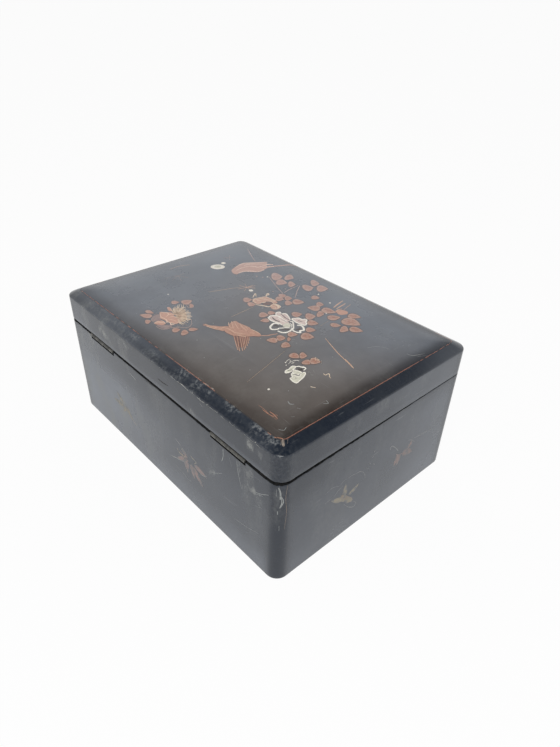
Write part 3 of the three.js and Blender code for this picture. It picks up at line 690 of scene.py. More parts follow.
def lid_haze(co):
    """Bloom and painted light on the lid: the top but for a rolled edge, the far bevel, and the sides' far
    ends.
    """
    if inside_lid(co):
        return 0.09
    inset = from_edge(co)
    back = towards_back(co)
    if on_top(co):
        from_middle = (Vector((co.x, co.y)) - Vector((-0.045, 0.050))).length
        # The top's rise towards the far corner is painted sheen, for the grazing light there, laid over the
        # bloom.
        top = 0.75 + 0.20 * co.x / HALF_LENGTH - 0.12 * co.y / HALF_WIDTH
        top -= 0.16 * (1 - rise(from_middle, 0.01, 0.06))
        left = (1 - back) * (1 - rise(co.x, -0.09, -0.03))
        least = 0.46 - 0.38 * left
        rolled = least + (0.80 - least) * rise(inset, 11 * MM, 21 * MM)
        rolled += 0.20 * rise(inset, 18 * MM, 40 * MM)
        return top * rolled
    if co.z > edge_low + 0.5 * MM:
        dull_end = rise(co.x, 0.095, 0.12)
        upper = 0.08 + 0.20 * rise(co.x, -0.04, 0.02) + 0.10 * rise(co.x, 0.0, 0.08) - 0.06 * dull_end
        lower = 0.02 + 0.10 * (1 - rise(co.x, -0.13, -0.10)) + 0.20 * rise(co.x, -0.01, 0.035)
        lower += 0.12 * rise(co.x, 0.04, 0.085) - 0.20 * dull_end
        end = (1 - back) * 0.16 * rise(-co.y, 0.03, 0.085)
        # No bloom on the upright corners: painted shade for their darker reflection.
        return end + back * off_corner(co) * (lower + (upper - lower) * rise(inset, 2.5 * MM, 6 * MM))
    under_edge = 1 - back * (0.9 - 0.6 * rise(co.x, 0.03, 0.09)) * rise(co.z, 0.114, 0.118)
    # A painted highlight along the lid's lower edge, for the floor's reflection in its rounding.
    off_seam = rise(co.z, LID_BOTTOM + 0.8 * MM, LID_BOTTOM + 1.3 * MM)
    painted_glint = (0.12 + 0.12 * back) * off_seam * (1 - rise(co.z, 0.099, 0.103))
    near = back * (1 - rise(co.x, 0.05, 0.12)) + (1 - back) * rise(co.y, 0.02, 0.08)
    side = 0.13 - 0.11 * near + 0.16 * back * rise(co.x, 0.09, 0.13)
    side += (1 - back) * 0.18 * rise(-co.y, -0.04, 0.08)
    # The upright corners again get no bloom: painted shade.
    return (side * under_edge + painted_glint) * off_corner(co)


LID_SMEARS = [
    (-91, 108, -96, 101, 5), (-114, 114, -125, 110, 6), (81, 111, 68, 104, 5), (44, 119, 28, 108, 6),
    (-40, 104, -52, 101, 4),
]


def lid_dust(co):
    """A little dust on the top, and smears of it on the back and the left end."""
    if inside_lid(co):
        return 0.04
    if on_top(co):
        return 0.10
    smears = 0.30 * rise(co.x, 0.0, 0.05) + 1.5 * along(co, LID_SMEARS) * (1 - rise(co.z, 0.117, 0.120))
    on_end = 0.25 * rise(co.z, 0.106, 0.111) * (1 - rise(co.z, 0.118, 0.120))
    on_end *= rise(0.07 - abs(co.y), 0.0, 0.03)
    return 0.03 + towards_back(co) * smears + (on_end if co.x < -HALF_LENGTH + EDGE_ROUNDING else 0.0)


def lid_scuff(co):
    """Scuffs in blotches along the back's bevel, and round the near corner."""
    at_near_corner = 1 - rise((co - Vector((-0.137, 0.096, co.z))).length, 4 * MM, 20 * MM)
    if co.z > edge_low and not on_top(co):
        upper = rise(from_edge(co), 2 * MM, 6 * MM)
        blotch = min(1.0, max(0.0, 4 * noise.noise(co * 75) + 0.45))
        rubbed = 0.06 + (0.35 + 0.60 * upper) * blotch
        along_back = towards_back(co) * rubbed * (1 - 0.6 * rise(co.x, 0.0, 0.06))
        return 0.03 + along_back + 0.28 * at_near_corner * patchy(co, 120)
    return 0.02 + 0.12 * at_near_corner


def lid_wear(co):
    """Bare ground along the bevel's lower edge, and along its crease by the near corner."""
    edge = max(0.0, 1 - abs(co.z - BEVEL_BOTTOM + 0.4 * MM) / (1.2 * MM))
    back_edge = 1.0 if co.y > 0.09 and co.x < -0.03 else 0.4
    crease = 0.0
    if -0.13 < co.x < -0.02 and co.y > 0.085:
        crease = max(0.0, 1 - abs(from_edge(co) - BEVEL_WIDTH) / (1.6 * MM))
    near_crease = 1 - rise((co - Vector((-0.1345, 0.0915, 0.124))).length, 0.5 * MM, 5 * MM)
    edge_wear = 0.7 * edge * back_edge * (0.45 + 0.55 * patchy(co, 90))
    return max(edge_wear, 0.85 * crease * patchy(co, 60), 0.40 * near_crease)


def lid_warmth(co):
    """How brown the top is: most at the near corner, where the black has worn thin."""
    return 0.0 if inside_lid(co) else on_top(co) * rise(-co.x / HALF_LENGTH + co.y / HALF_WIDTH, 0.0, 1.4)


lid_skin.data.materials.clear()
lid_skin.data.materials.append(lacquer("lid_black_lacquer", 0.15))
mark(lid_skin, haze=lid_haze, dust=lid_dust, scuff=lid_scuff, wear=lid_wear, warm=lid_warmth)


def in_lid_gap(co):
    """Whether a face is in the seam or in a groove over a hinge."""
    inset = from_edge(co)
    at_leaf = co.y > 0 and 0.3 * MM < inset < 5 * MM
    in_groove = off_corner(co) == 1 and at_leaf and co.z < LID_BOTTOM + 2 * MM
    reach = (0.05 + 0.75 * gaping(co) + 0.15 * rise(co.y, 0.085, 0.1) + 0.15 * noise.noise(co * 400)) * MM
    return inset < 0.5 * WALL and (in_groove or co.z < LID_BOTTOM + reach)


# The faces in the lid's seam and hinge grooves get the same painted shade.
blacken(lid_skin, seam_shade_and_grime, in_lid_gap)
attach(lid_skin, "lid")
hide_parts("lid_front_rail", "lid_back_rail", "lid_left_rail", "lid_right_rail", "lid_panel")


# The red line: a line of vermilion lacquer brushed along the crease round the lid's top
# It is under a millimetre wide, whole at the left end, rubbed thin at the back, and nearly gone at
# the front and the right.
LINE_WIDTH = 0.5 * MM
LINE_HEIGHT = 0.07 * MM
LINE_DEPTH = 0.12 * MM
line_rings = []
for side, lift in ((-0.5, -0.03 * MM), (0.0, LINE_HEIGHT), (0.5, -0.03 * MM), (0.0, -LINE_DEPTH)):
    slope = BEVEL_RISE / BEVEL_WIDTH if side < 0 else 3 * CROWN_RISE / CROWN_REACH
    line_height = BEVEL_TOP + lift + slope * side * LINE_WIDTH
    inset = BEVEL_WIDTH + side * LINE_WIDTH
    line_rings.append(outline(inset, line_height, radius=CREASE_RADIUS - side * LINE_WIDTH))
red_line = hoop("lid_red_line", line_rings)
smooth(red_line, 80)


PALE_BLOOM_AND_SHEEN = (0.58, 0.50, 0.52)


def painted(name, colour, second, roughness=0.48, metallic=0.0, worn=0.70, under=BROWN_BLACK):
    """Raised lacquer colour or metal powder, uneven in tone and rubbed through to the black."""
    material, tree = new_material(name)
    place = add_node(tree, "ShaderNodeTexCoord").outputs["Object"]
    rim, veil, wear = [
        add_node(tree, "ShaderNodeAttribute", attribute_name=mark).outputs["Fac"]
        for mark in ("rim", "veil", "wear")
    ]
    mottle = maths(tree, "MULTIPLY", grainy(tree, place, 480, 5, [(0.38, 0.0), (0.62, 1.0)]), 0.8)
    base = mix_colours(tree, maths(tree, "ADD", mottle, rim, clamp=True), colour, second)
    # A pale bloom over the motifs; its rise towards the far corner is painted sheen, like the lacquer's
    # around it.
    base = mix_colours(tree, veil, base, PALE_BLOOM_AND_SHEEN)
    rubbing = maths(tree, "ADD", grainy(tree, place, 300, 6), maths(tree, "MULTIPLY", wear, 0.5))
    gone = ramp(tree, rubbing, [(worn, 0.0), (min(worn + 0.08, 1.0), 1.0)])
    base = mix_colours(tree, gone, base, under)
    shine = maths(tree, "MULTIPLY", maths(tree, "SUBTRACT", 1.0, gone), metallic)
    powder = grainy(tree, place, 1500, 3)
    bump = add_node(tree, "ShaderNodeBump", {"Height": powder, "Strength": 0.4, "Distance": 0.05 * MM})
    shader = add_node(tree, "ShaderNodeBsdfPrincipled", {
        "Base Color": base, "Roughness": roughness, "Metallic": shine, "IOR": LACQUER_IOR,
        "Normal": bump.outputs["Normal"],
    })
    add_node(tree, "ShaderNodeOutputMaterial", {"Surface": shader.outputs[0]})
    return material


def line_wear(co):
    """How far the red line is rubbed away: thin at the back, whole at the left, nearly gone elsewhere."""
    if co.y > 0.088:
        thin = 0.26 + 0.22 * patchy(co, 60) + 0.10 * rise(co.x, -0.02, 0.03)
        return thin + 0.5 * (1 - rise(co.x, -0.115, -0.045)) * rise(co.x, -0.134, -0.122)
    if co.x < -0.128:
        return 0.10 + 0.25 * rise(-co.y, -0.02, 0.06) * patchy(co, 80) * 2
    at_front = 0.62 * rise(co.x, -0.128, -0.112) if co.y < -0.085 else 0.0
    return max(at_front, 0.62 if co.x > 0.13 else 0.0)


mark(red_line, wear=line_wear)
vermilion = painted("vermilion_line", (0.38, 0.12, 0.07), (0.40, 0.20, 0.15), worn=0.70)
red_line.data.materials.append(vermilion)
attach(red_line, "lid")


# The leaves and stems: raised lacquer dusted with red, a fifth of a millimetre proud of the lid
# Each leaf is brushed by itself, with a dark outline and a paler rim, in sprays round the flowers.
lid_tree = BVHTree.FromObject(lid_skin, bpy.context.evaluated_depsgraph_get())


def cast(surface, start, direction, lift):
    """Where a ray meets the surface, lifted off it by so many millimetres."""
    hit, normal, _, _ = surface.ray_cast(Vector(start), Vector(direction))
    return hit + normal * lift * MM


def on_lid(x, y, lift):
    """The point this many millimetres along and across the lid's top, lifted off it."""
    return cast(lid_tree, (x * MM, y * MM, 1), (0, 0, -1), lift)


def through(points, closed=False, steps=5):
    """A smooth path through the points, closed on itself or with two ends."""
    points = [Vector(point) for point in points]
    if len(points) < 3:
        return points
    ends = [points[-1], *points, *points[:2]] if closed else [points[0], *points, points[-1]]
    path = []
    for a, b, c, d in zip(ends, ends[1:], ends[2:], ends[3:]):
        for step in range(steps):
            t = step / steps
            bend = (2 * a - 5 * b + 4 * c - d) * t * t + (3 * b - a - 3 * c + d) * t ** 3
            path.append(0.5 * (2 * b + (c - a) * t + bend))
    return path if closed else path + [points[-1]]


class Relief:
    """Raised work on one face of the box, gathered stroke by stroke and made as one mesh.

    Places, widths and heights are in millimetres.
    """

    def __init__(self, face):
        self.face = face
        self.points = []
        self.rims = []
        self.faces = []

    def add(self, place, lift, rim=0.0):
        self.points.append(self.face(place.x, place.y, lift))
        self.rims.append(rim)

    def stroke(self, points, width, height=0.14, taper=0.35, closed=False):
        """One brush stroke along a path, thinner at both ends unless it is closed."""
        path = through(points, closed)
        count = len(path)
        start = len(self.points)
        for i, place in enumerate(path):
            before = path[i - 1] if closed or i else place
            after = path[(i + 1) % count] if closed or i < count - 1 else place
            along = (after - before).normalized()
            across = Vector((-along.y, along.x))
            share = i / (count - 1)
            full = 1.0 if closed else taper + (1 - taper) * max(0.0, math.sin(math.pi * share)) ** 0.6
            half = width / 2 * full
            for side, lift in ((1, -0.03), (0.5, height), (-0.5, height), (-1, -0.03), (0, -0.15)):
                self.add(place + across * side * half, lift)
        for i in range(count if closed else count - 1):
            a, b = start + 5 * i, start + 5 * ((i + 1) % count)
            for k in range(5):
                m = (k + 1) % 5
                self.faces.append((a + k, a + m, b + m, b + k))
        if not closed:
            last = start + 5 * (count - 1)
            self.faces.append(tuple(start + k for k in (4, 3, 2, 1, 0)))
            self.faces.append(tuple(last + k for k in range(5)))

    def strokes(self, paths, height, taper=0.35):
        """A stroke for each path and its width."""
        for path, width in paths:
            self.stroke(path, width, height, taper)

    def mound(self, ring, height=0.2):
        """A low cushion over a closed outline that bulges outwards, paler at its rim."""
        ring = [Vector(point) for point in ring]
        centre = sum(ring, Vector((0, 0))) / len(ring)
        start = len(self.points)
        count = len(ring)
        for share, lift, rim in ((1.0, -0.03, 0.9), (0.9, height * 0.8, 0.8), (0.62, height, 0.0)):
            for point in ring:
                self.add(centre.lerp(point, share), lift, rim)
        self.add(centre, height * 1.05)
        self.add(centre, -0.15)
        top, bottom = start + 3 * count, start + 3 * count + 1
        for i in range(count):
            j = (i + 1) % count
            for row in (0, count):
                a = start + row
                self.faces.append((a + i, a + j, a + count + j, a + count + i))
            self.faces.append((start + 2 * count + i, start + 2 * count + j, top))
            self.faces.append((start + j, start + i, bottom))

    def plate(self, points, height=0.16):
        """A flat raised shape with any outline."""
        path = through(points, closed=True, steps=4)
        flat = [Vector((place.x, place.y, 0)) for place in path]
        area = sum(a.x * b.y - b.x * a.y for a, b in zip(flat, flat[1:] + flat[:1]))
        if area < 0:
            path.reverse()
            flat.reverse()
        start, count = len(self.points), len(path)
        for lift in (height, -0.15):
            for place in path:
                self.add(place, lift)
        for corners in tessellate_polygon([flat]):
            a, b, c = corners
            turn = (flat[b] - flat[a]).cross(flat[c] - flat[a]).z
            a, b, c = (a, b, c) if turn > 0 else (a, c, b)
            self.faces.append((start + a, start + b, start + c))
            self.faces.append((start + count + a, start + count + c, start + count + b))
        for i in range(count):
            j = (i + 1) % count
            self.faces.append((start + j, start + i, start + count + i, start + count + j))

    def dot(self, x, y, size, height=0.15):
        turns = [step * math.pi / 4 for step in range(8)]
        self.mound([(x + size * math.cos(turn), y + size * math.sin(turn)) for turn in turns], height)

    def make(self, name, body, material, veiled=1.0):
        made = mesh_object(name, self.points, self.faces)
        shape = bmesh.new()
        shape.from_mesh(made.data)
        bmesh.ops.recalc_face_normals(shape, faces=shape.faces)
        shape.to_mesh(made.data)
        shape.free()
        smooth(made, 60)
        rims = made.data.attributes.new("rim", "FLOAT", "POINT")
        rims.data.foreach_set("value", self.rims)
        if self.face is on_lid:
            # The bloom over the lid's motifs grows towards the far corner as painted sheen.
            mark(made, veil=lambda co: veiled * min(1.0, max(0.0, 0.17 + 2.2 * co.x - 1.6 * co.y)))
        made.data.materials.append(material)
        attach(made, body)
        return made


leaf_growth = random.Random(5)
LEAF_BEND = 0.22
LEAF_FULLNESS = 1.4
LEAF_OUTLINE = 0.6
BROAD_LEAF = 8


def leaf_outline(x0, y0, x1, y1, breadth, points=20):
    """A leaf from its round base to its pointed tip, a little bent to one side."""
    base, tip = Vector((x0, y0)), Vector((x1, y1))
    along = (tip - base) * 1.06
    across = Vector((-along.y, along.x)).normalized() * breadth / 2
    bend = leaf_growth.uniform(-LEAF_BEND, LEAF_BEND)
    ring = []
    for step in range(points):
        turn = 2 * math.pi * step / points
        reach = 0.5 - 0.5 * math.cos(turn)
        width = LEAF_FULLNESS * math.sin(turn) * (1 - reach) ** 0.45
        ring.append(base + along * reach + across * (width + bend * math.sin(math.pi * reach)))
    return ring


red_leaf = painted("red_leaf", (0.36, 0.155, 0.105), (0.47, 0.315, 0.250))
leaf_brown = painted("leaf_outline_brown", (0.075, 0.036, 0.028), (0.14, 0.07, 0.052), worn=0.9)
gold = painted("gold_powder", (0.50, 0.38, 0.26), (0.36, 0.24, 0.16), 0.45, 0.25)

# Base x and y, tip x and y, and breadth, in millimetres along and across the lid.
LEAVES = {
    "upper": [(42, -54, 36, -62, 15), (34, -64, 27, -68, 12), (31, -50, 23, -56, 11),
              (20, -55, 16, -60, 11), (10, -74, 5, -80, 13), (5, -60, 2, -69, 12), (0, -72, -8, -78, 13)],
    "middle": [(8, -33, 6, -39, 7), (6, -27, 1, -32, 8), (2, -34, -2, -39, 8), (-5, -28, -9, -33, 8),
               (-6, -36, -14, -42, 9), (22, -4, 18, -10, 8), (13, -3, 9, -7, 6)],
    "right": [(-23, -48, -28, -52, 8), (-31, -45, -23, -38, 9), (-32, -46, -44, -50, 9),
              (-35, -37, -40, -40, 10), (-46, -38, -52, -47, 8), (-54, -54, -63, -60, 8),
              (-56, -45, -71, -50, 12), (-55, -32, -62, -37, 6), (-65, -33, -71, -36, 10),
              (-69, -40, -79, -44, 8), (-11, -54, -17, -58, 7)],
    "peony": [(-32, -26, -38, -32, 10), (-40, -21, -48, -25, 8), (-49, -10, -54, -16, 7),
              (-52, -2, -61, -7, 10), (-23, -19, -28, -26, 8), (-7, 3, -12, -3, 8), (-9, -5, -13, -10, 6),
              (-19, 2, -15, 8, 6), (-45, 6, -50, 0, 7), (-43, 16, -48, 11, 8), (-50, 11, -52, 9, 6),
              (-47, 18, -41, 24, 7), (-53, 20, -59, 16, 8)],
    "bud": [(-67, 24, -75, 22, 7), (-73, 20, -77, 16, 8), (-80, 23, -86, 22, 7), (-82, 18, -89, 14, 8)],
    "chrysanthemum": [(46, 72, 55, 77, 6), (58, 70, 50, 68, 4), (43, 80, 41, 76, 6), (57, 46, 53, 41, 6),
                      (50, 40, 49, 31, 8), (42, 38, 40, 35, 7), (18, 71, 14, 66, 6), (10, 68, 6, 64, 8),
                      (10, 61, 6, 55, 5)],
}
for spray, leaves in LEAVES.items():
    blades, edges = Relief(on_lid), Relief(on_lid)
    for leaf in leaves:
        ring = leaf_outline(*leaf)
        blades.mound(ring)
        edges.stroke(ring, LEAF_OUTLINE, height=0.13, closed=True)
        if leaf[4] >= BROAD_LEAF:
            base, tip = Vector(leaf[:2]), Vector(leaf[2:4])
            edges.stroke([base, base.lerp(tip, 0.8)], LEAF_OUTLINE, height=0.27)
    blades.make(spray + "_leaves", "lid", red_leaf)
    edges.make(spray + "_leaf_outlines", "lid", leaf_brown)

STEMS = [
    ([(5, 23), (6, 10), (7, -3)], 0.4), ([(-74, 71), (-68, 48), (-61, 23)], 0.3),
    ([(-52, -23), (-50, -36)], 0.5),
    ([(53, 10), (49, -1), (46, -10), (42, -18)], 0.8), ([(114, 10), (115, 0), (111, -11)], 0.9),
]
stems = Relief(on_lid)
stems.strokes(STEMS, height=0.1)
stems.make("gold_stems", "lid", gold)

orange_gold = painted("orange_gold", (0.54, 0.31, 0.21), (0.62, 0.45, 0.32), 0.48, 0.1)
reed = Relief(on_lid)
reed.stroke([(-68, -13), (-89, -5), (-107, 0)], 0.8)
reed.stroke([(-98, -3), (-104, -1), (-110, 1)], 1.3)
reed.make("orange_reed", "lid", orange_gold)


# The chrysanthemum: a ragged head of gold petals over a salmon one, seen from the side
# The petals are single strokes of metal powder that fan out of the heart, over flat lobes of colour.
pale_gold = painted("pale_gold", (0.78, 0.66, 0.50), (0.60, 0.43, 0.30), 0.45, 0.1)
salmon = painted("salmon_lacquer", (0.56, 0.30, 0.21), (0.46, 0.25, 0.175))
grey_line = painted("dulled_outline", (0.40, 0.31, 0.27), (0.24, 0.17, 0.15), worn=0.66)

FAN_HEART = Vector((34, 57))
FAN_TIPS = [
    (47, 53), (48, 50), (48, 47), (48, 44), (46, 42), (42, 42), (38, 43), (34, 44), (30, 46), (26, 48),
    (22, 50), (20, 53), (20, 57), (21, 60), (24, 62),
]
LOBES = [
    [(48, 63), (45, 60), (41, 56), (33, 58), (27, 57), (24, 60), (24, 64), (28, 65), (34, 67), (39, 68),
     (43, 66)],
    [(35, 76), (37, 73), (36, 70), (33, 69), (30, 69), (29, 72), (31, 74)],
    [(51, 54), (50, 52), (46, 53), (43, 54), (45, 56), (49, 55)],
]
DULL_LOBES = [
    [(44, 73), (46, 69), (46, 66), (43, 65), (38, 67), (37, 72), (38, 74), (41, 75)],
    [(32, 76), (28, 76), (24, 75), (22, 72), (22, 68), (25, 68), (28, 71)],
]
lobes, dull_lobes, bright_strokes = Relief(on_lid), Relief(on_lid), Relief(on_lid)
for lobe in LOBES:
    lobes.plate(lobe)
for lobe in DULL_LOBES:
    dull_lobes.plate(lobe, height=0.1)
bright_strokes.strokes([
    ([(36, 76), (36, 73), (31, 70)], 1.3), ([(36, 70), (33, 69), (29, 70)], 0.8),
    ([(41, 67), (37, 66), (33, 66), (30, 68)], 1.3),
    ([(47, 63), (46, 61), (43, 59), (40, 60), (38, 64)], 1.1), ([(46, 64), (42, 66), (38, 67)], 0.9),
    ([(40, 60), (39, 57), (36, 55), (31, 52)], 1.2), ([(36, 62), (35, 59), (32, 57), (28, 55)], 1.1),
    ([(33, 67), (29, 66), (25, 64), (24, 61)], 0.9), ([(34, 64), (30, 62), (26, 61)], 0.7),
    ([(44, 62), (42, 61)], 0.8), ([(51, 54), (50, 53)], 1.0), ([(28, 66), (25, 67), (24, 65)], 1.2),
], height=0.26)
dulled_lobe = painted("dulled_lobe", (0.30, 0.215, 0.200), (0.18, 0.14, 0.14), worn=0.62)
dull_lobes.make("chrysanthemum_dull_lobes", "lid", dulled_lobe)
lobes.make("chrysanthemum_lobes", "lid", salmon)
pale_peach = painted("pale_peach", (0.84, 0.64, 0.50), (0.68, 0.44, 0.32), worn=0.76)
bright_strokes.make("chrysanthemum_strokes", "lid", pale_peach)
fan_ground = Relief(on_lid)
FAN_GROUND = [
    (45, 52), (45, 47), (42, 45), (36, 46), (30, 49), (25, 52), (23, 55), (24, 59), (30, 58), (36, 56),
    (42, 55),
]
fan_ground.plate(FAN_GROUND, height=0.1)
fan_ground.make("chrysanthemum_ground", "lid", gold)
fan, tufts = Relief(on_lid), Relief(on_lid)
for i in range(len(FAN_TIPS) - 1):
    for half in (0.0, 0.5):
        tip = Vector(FAN_TIPS[i]).lerp(Vector(FAN_TIPS[i + 1]), half)
        tip = FAN_HEART.lerp(tip, 1.03 + 0.09 * math.sin(5 * i + 9 * half))
        start = FAN_HEART.lerp(tip, 0.35)
        bend = Vector((tip.y - start.y, start.x - tip.x)) * 0.14 * math.sin(2.1 * i + 4 * half)
        fan.stroke([start, start.lerp(tip, 0.5) + bend, tip], 0.7, height=0.26, taper=0.45)
    tip = Vector(FAN_TIPS[i]).lerp(Vector(FAN_TIPS[i + 1]), 0.25)
    tufts.stroke([FAN_HEART.lerp(tip, 0.15), FAN_HEART.lerp(tip, 0.75)], 0.5, height=0.3, taper=0.4)
fan.make("chrysanthemum_petals", "lid", pale_gold)
tufts.make("chrysanthemum_tufts", "lid", gold)
ragged = Relief(on_lid)
for path in (
    [(46, 69), (44, 73), (41, 75), (38, 75)], [(32, 77), (27, 77), (23, 75), (21, 71)],
    [(28, 74), (25, 72), (24, 70)], [(20, 66), (16, 63), (13, 59), (16, 54), (22, 50)],
    [(44, 68), (41, 71), (40, 74)], [(46, 72), (48, 66)], [(22, 70), (19, 67), (17, 65)],
    [(44, 40), (44, 37), (42, 35), (39, 36), (38, 38), (40, 40), (43, 40)], [(28, 71), (27, 74)],
    [(25, 70), (23, 72)], [(42, 67), (40, 70)], [(20, 61), (17, 61)], [(20, 58), (16, 58)],
    [(21, 64), (18, 64)],
):
    ragged.stroke(path, 0.7, height=0.18)
ragged.make("chrysanthemum_outlines", "lid", grey_line)
grey_stems = Relief(on_lid)
for path in (
    [(108, -80), (93, -72), (78, -65)], [(45, -53), (28, -46), (18, -42), (9, -39)],
    [(10, -41), (12, -49), (13, -61)], [(12, -62), (5, -52), (-3, -42)],
):
    grey_stems.stroke(path, 1.0, height=0.12)
for x, y in ((46, -47), (51, -44), (15, -47), (18, -35)):
    grey_stems.dot(x, y, 0.8)
grey_stems.make("grey_stems", "lid", grey_line)


# The orange blossom: a loose flower in salmon and gold beside the middle leaves
# Its petals are low mounds of colour with a gold edge.
BLOSSOM = [
    [(18, -11), (17, -15), (16, -19), (15, -23), (10, -24), (5, -25), (0, -24), (0, -21), (5, -20),
     (7, -18), (8, -15), (8, -10), (12, -8)],
    [(0, -16), (0, -20), (-3, -21), (-8, -20), (-9, -17), (-8, -14), (-4, -13)],
    [(15, -3), (15, -6), (12, -7), (10, -4), (10, -1)],
]
blossom, blossom_edges = Relief(on_lid), Relief(on_lid)
for petal in BLOSSOM:
    blossom.plate(petal, height=0.14)
blossom_edges.strokes([
    ([(18, -12), (16, -19), (14, -23), (9, -24), (3, -25)], 1.5),
    ([(13, -12), (11, -18), (7, -22), (2, -23)], 1.35), ([(15, -13), (14, -19), (11, -21)], 1.35),
    ([(9, -7), (6, -9), (3, -11), (-1, -13), (-1, -16)], 1.65), ([(14, -10), (12, -9), (10, -9)], 1.2),
    ([(0, -20), (4, -21), (7, -19)], 1.05), ([(15, -24), (17, -27), (18, -29), (15, -27)], 2.1),
    ([(0, -19), (-4, -20), (-8, -18)], 2.4), ([(10, -10), (8, -14), (7, -17)], 0.9),
    ([(-2, -15), (-5, -17), (-7, -15)], 0.9),
    ([(-2, -15), (0, -19), (-2, -21), (-7, -21), (-8, -16), (-6, -13)], 1.2),
    ([(20, -13), (25, -20), (20, -17)], 1.2), ([(14, -8), (17, -13), (13, -13)], 1.35),
], height=0.26)
blossom.make("orange_blossom", "lid", salmon)
blossom_edges.make("orange_blossom_edges", "lid", pale_gold)
hollows = Relief(on_lid)
hollows.plate([(7, -14), (6, -17), (4, -19), (1, -20), (1, -17), (3, -13), (5, -12)], height=0.05)
hollows.make("orange_blossom_hollow", "lid", leaf_brown)


# The peony and its bud: shell-white petals, each a loop of thick white over a thin pink wash
# The wash has rubbed through to the black in places, and dark slits show between the petals.
shell_white = painted("shell_white", (0.90, 0.87, 0.78), (0.80, 0.75, 0.66), worn=0.76)
pink_wash = painted("pink_wash", (0.72, 0.60, 0.55), (0.56, 0.43, 0.38), 0.5, worn=0.64)
PETALS = [
    [(-16, -8), (-14, -11), (-14, -14), (-17, -13), (-19, -15), (-23, -15), (-29, -12), (-30, -9),
     (-25, -8), (-20, -9)],
    [(-16, 0), (-15, -3), (-16, -6), (-18, -8), (-22, -8), (-28, -7), (-32, -8), (-34, -4), (-31, -1),
     (-24, 0), (-20, 1)],
    [(-29, -14), (-30, -17), (-31, -19), (-35, -20), (-36, -22), (-38, -22), (-40, -19), (-42, -18),
     (-43, -15), (-41, -14), (-37, -13), (-33, -13)],
]
PETAL_EDGES = [
    ([(-16, -8), (-13, -11), (-14, -14), (-17, -13), (-19, -16), (-23, -15), (-29, -12)], 1.5),
    ([(-16, -8), (-20, -9), (-25, -8), (-30, -8)], 0.9),
    ([(-16, 0), (-14, -3), (-15, -6), (-18, -8), (-22, -8)], 1.6),
    ([(-15, 0), (-20, 1), (-24, 0), (-28, -1), (-31, -1)], 1.5), ([(-21, -6), (-26, -5), (-30, -6)], 0.6),
    ([(-29, 0), (-26, 1), (-25, 3), (-26, 6), (-28, 9), (-31, 10), (-33, 8), (-34, 5)], 1.8),
    ([(-36, 8), (-40, 7), (-42, 4), (-42, 0), (-40, -4)], 1.8),
    ([(-33, 5), (-35, 2), (-36, 0), (-39, -3)], 1.0),
    ([(-31, -10), (-33, -11), (-37, -8), (-41, -4), (-42, -1)], 1.3),
    ([(-33, -8), (-36, -7), (-39, -4)], 0.8),
    ([(-39, -10), (-41, -12), (-44, -12), (-48, -9), (-47, -6), (-49, -4), (-46, -2), (-42, -2)], 1.8),
]
white_petals, petal_fill = Relief(on_lid), Relief(on_lid)
for petal in PETALS:
    petal_fill.plate(petal, height=0.07)
white_petals.stroke(PETALS[-1], 1.4, height=0.28, closed=True)
white_petals.strokes(PETAL_EDGES, height=0.28, taper=0.6)

BUD_PETALS = [
    [(-83, 43), (-81, 41), (-81, 38), (-80, 35), (-80, 33), (-82, 32), (-83, 35), (-84, 38), (-84, 41)],
    [(-87, 39), (-85, 38), (-84, 36), (-86, 35), (-88, 34), (-90, 34), (-91, 36), (-90, 38), (-89, 39)],
    [(-86, 39), (-87, 41), (-90, 43), (-90, 45), (-93, 46), (-96, 46), (-97, 45), (-96, 41), (-95, 37),
     (-94, 35), (-93, 33), (-91, 32), (-91, 35), (-92, 38), (-90, 40)],
]
bud_fill = Relief(on_lid)
for petal in BUD_PETALS:
    bud_fill.plate(petal, height=0.1)
    white_petals.stroke(petal, 0.9, height=0.26, closed=True)
bud_fill.plate([(-32, -1), (-31, -5), (-33, -7), (-37, -5), (-37, -2), (-34, 0)], height=0.12)
white_petals.stroke([(-82, 32), (-83, 30), (-85, 29), (-86, 28), (-88, 28), (-89, 31)], 1.3, height=0.28)
for path in (
    [(-74, 35), (-72, 31), (-72, 28)], [(-77, 32), (-77, 28)],
    [(-76, 34), (-75, 30), (-76, 26), (-78, 25)],
):
    white_petals.stroke(path, 0.4, height=0.15)
for x, y in ((-73, 34), (-76, 36), (-77, 30), (-74, 30)):
    white_petals.dot(x, y, 0.5)
cream_white = painted("cream_white", (0.72, 0.70, 0.58), (0.52, 0.50, 0.40), worn=0.66)
bud_fill.make("bud_petals", "lid", cream_white)
petal_fill.make("petal_wash", "lid", pink_wash)
white_petals.make("white_petals", "lid", shell_white)

slits = Relief(on_lid)
slits.strokes([
    ([(-16, -13), (-20, -12), (-24, -11), (-29, -11)], 0.9), ([(-17, -3), (-22, -2), (-26, -3)], 1.4),
    ([(-27, 5), (-29, 3), (-31, 3)], 1.8), ([(-36, 4), (-38, 1), (-40, -1)], 2.2),
    ([(-43, -5), (-45, -7), (-43, -9)], 2.0), ([(-85, 33), (-87, 31), (-87, 33)], 2.2),
    ([(-88, 40), (-90, 39), (-92, 38)], 1.2), ([(-92, 42), (-93, 42)], 0.7),
    ([(-34, -16), (-38, -17)], 0.6), ([(-83, 37), (-82, 40)], 0.5), ([(-84, 37), (-86, 40)], 0.8),
    ([(-91, 37), (-91, 34)], 0.7),
], height=0.33, taper=0.6)
dark_slit = painted("dark_slit", (0.050, 0.045, 0.040), (0.10, 0.09, 0.08), worn=0.9)
slits.make("petal_slits", "lid", dark_slit)


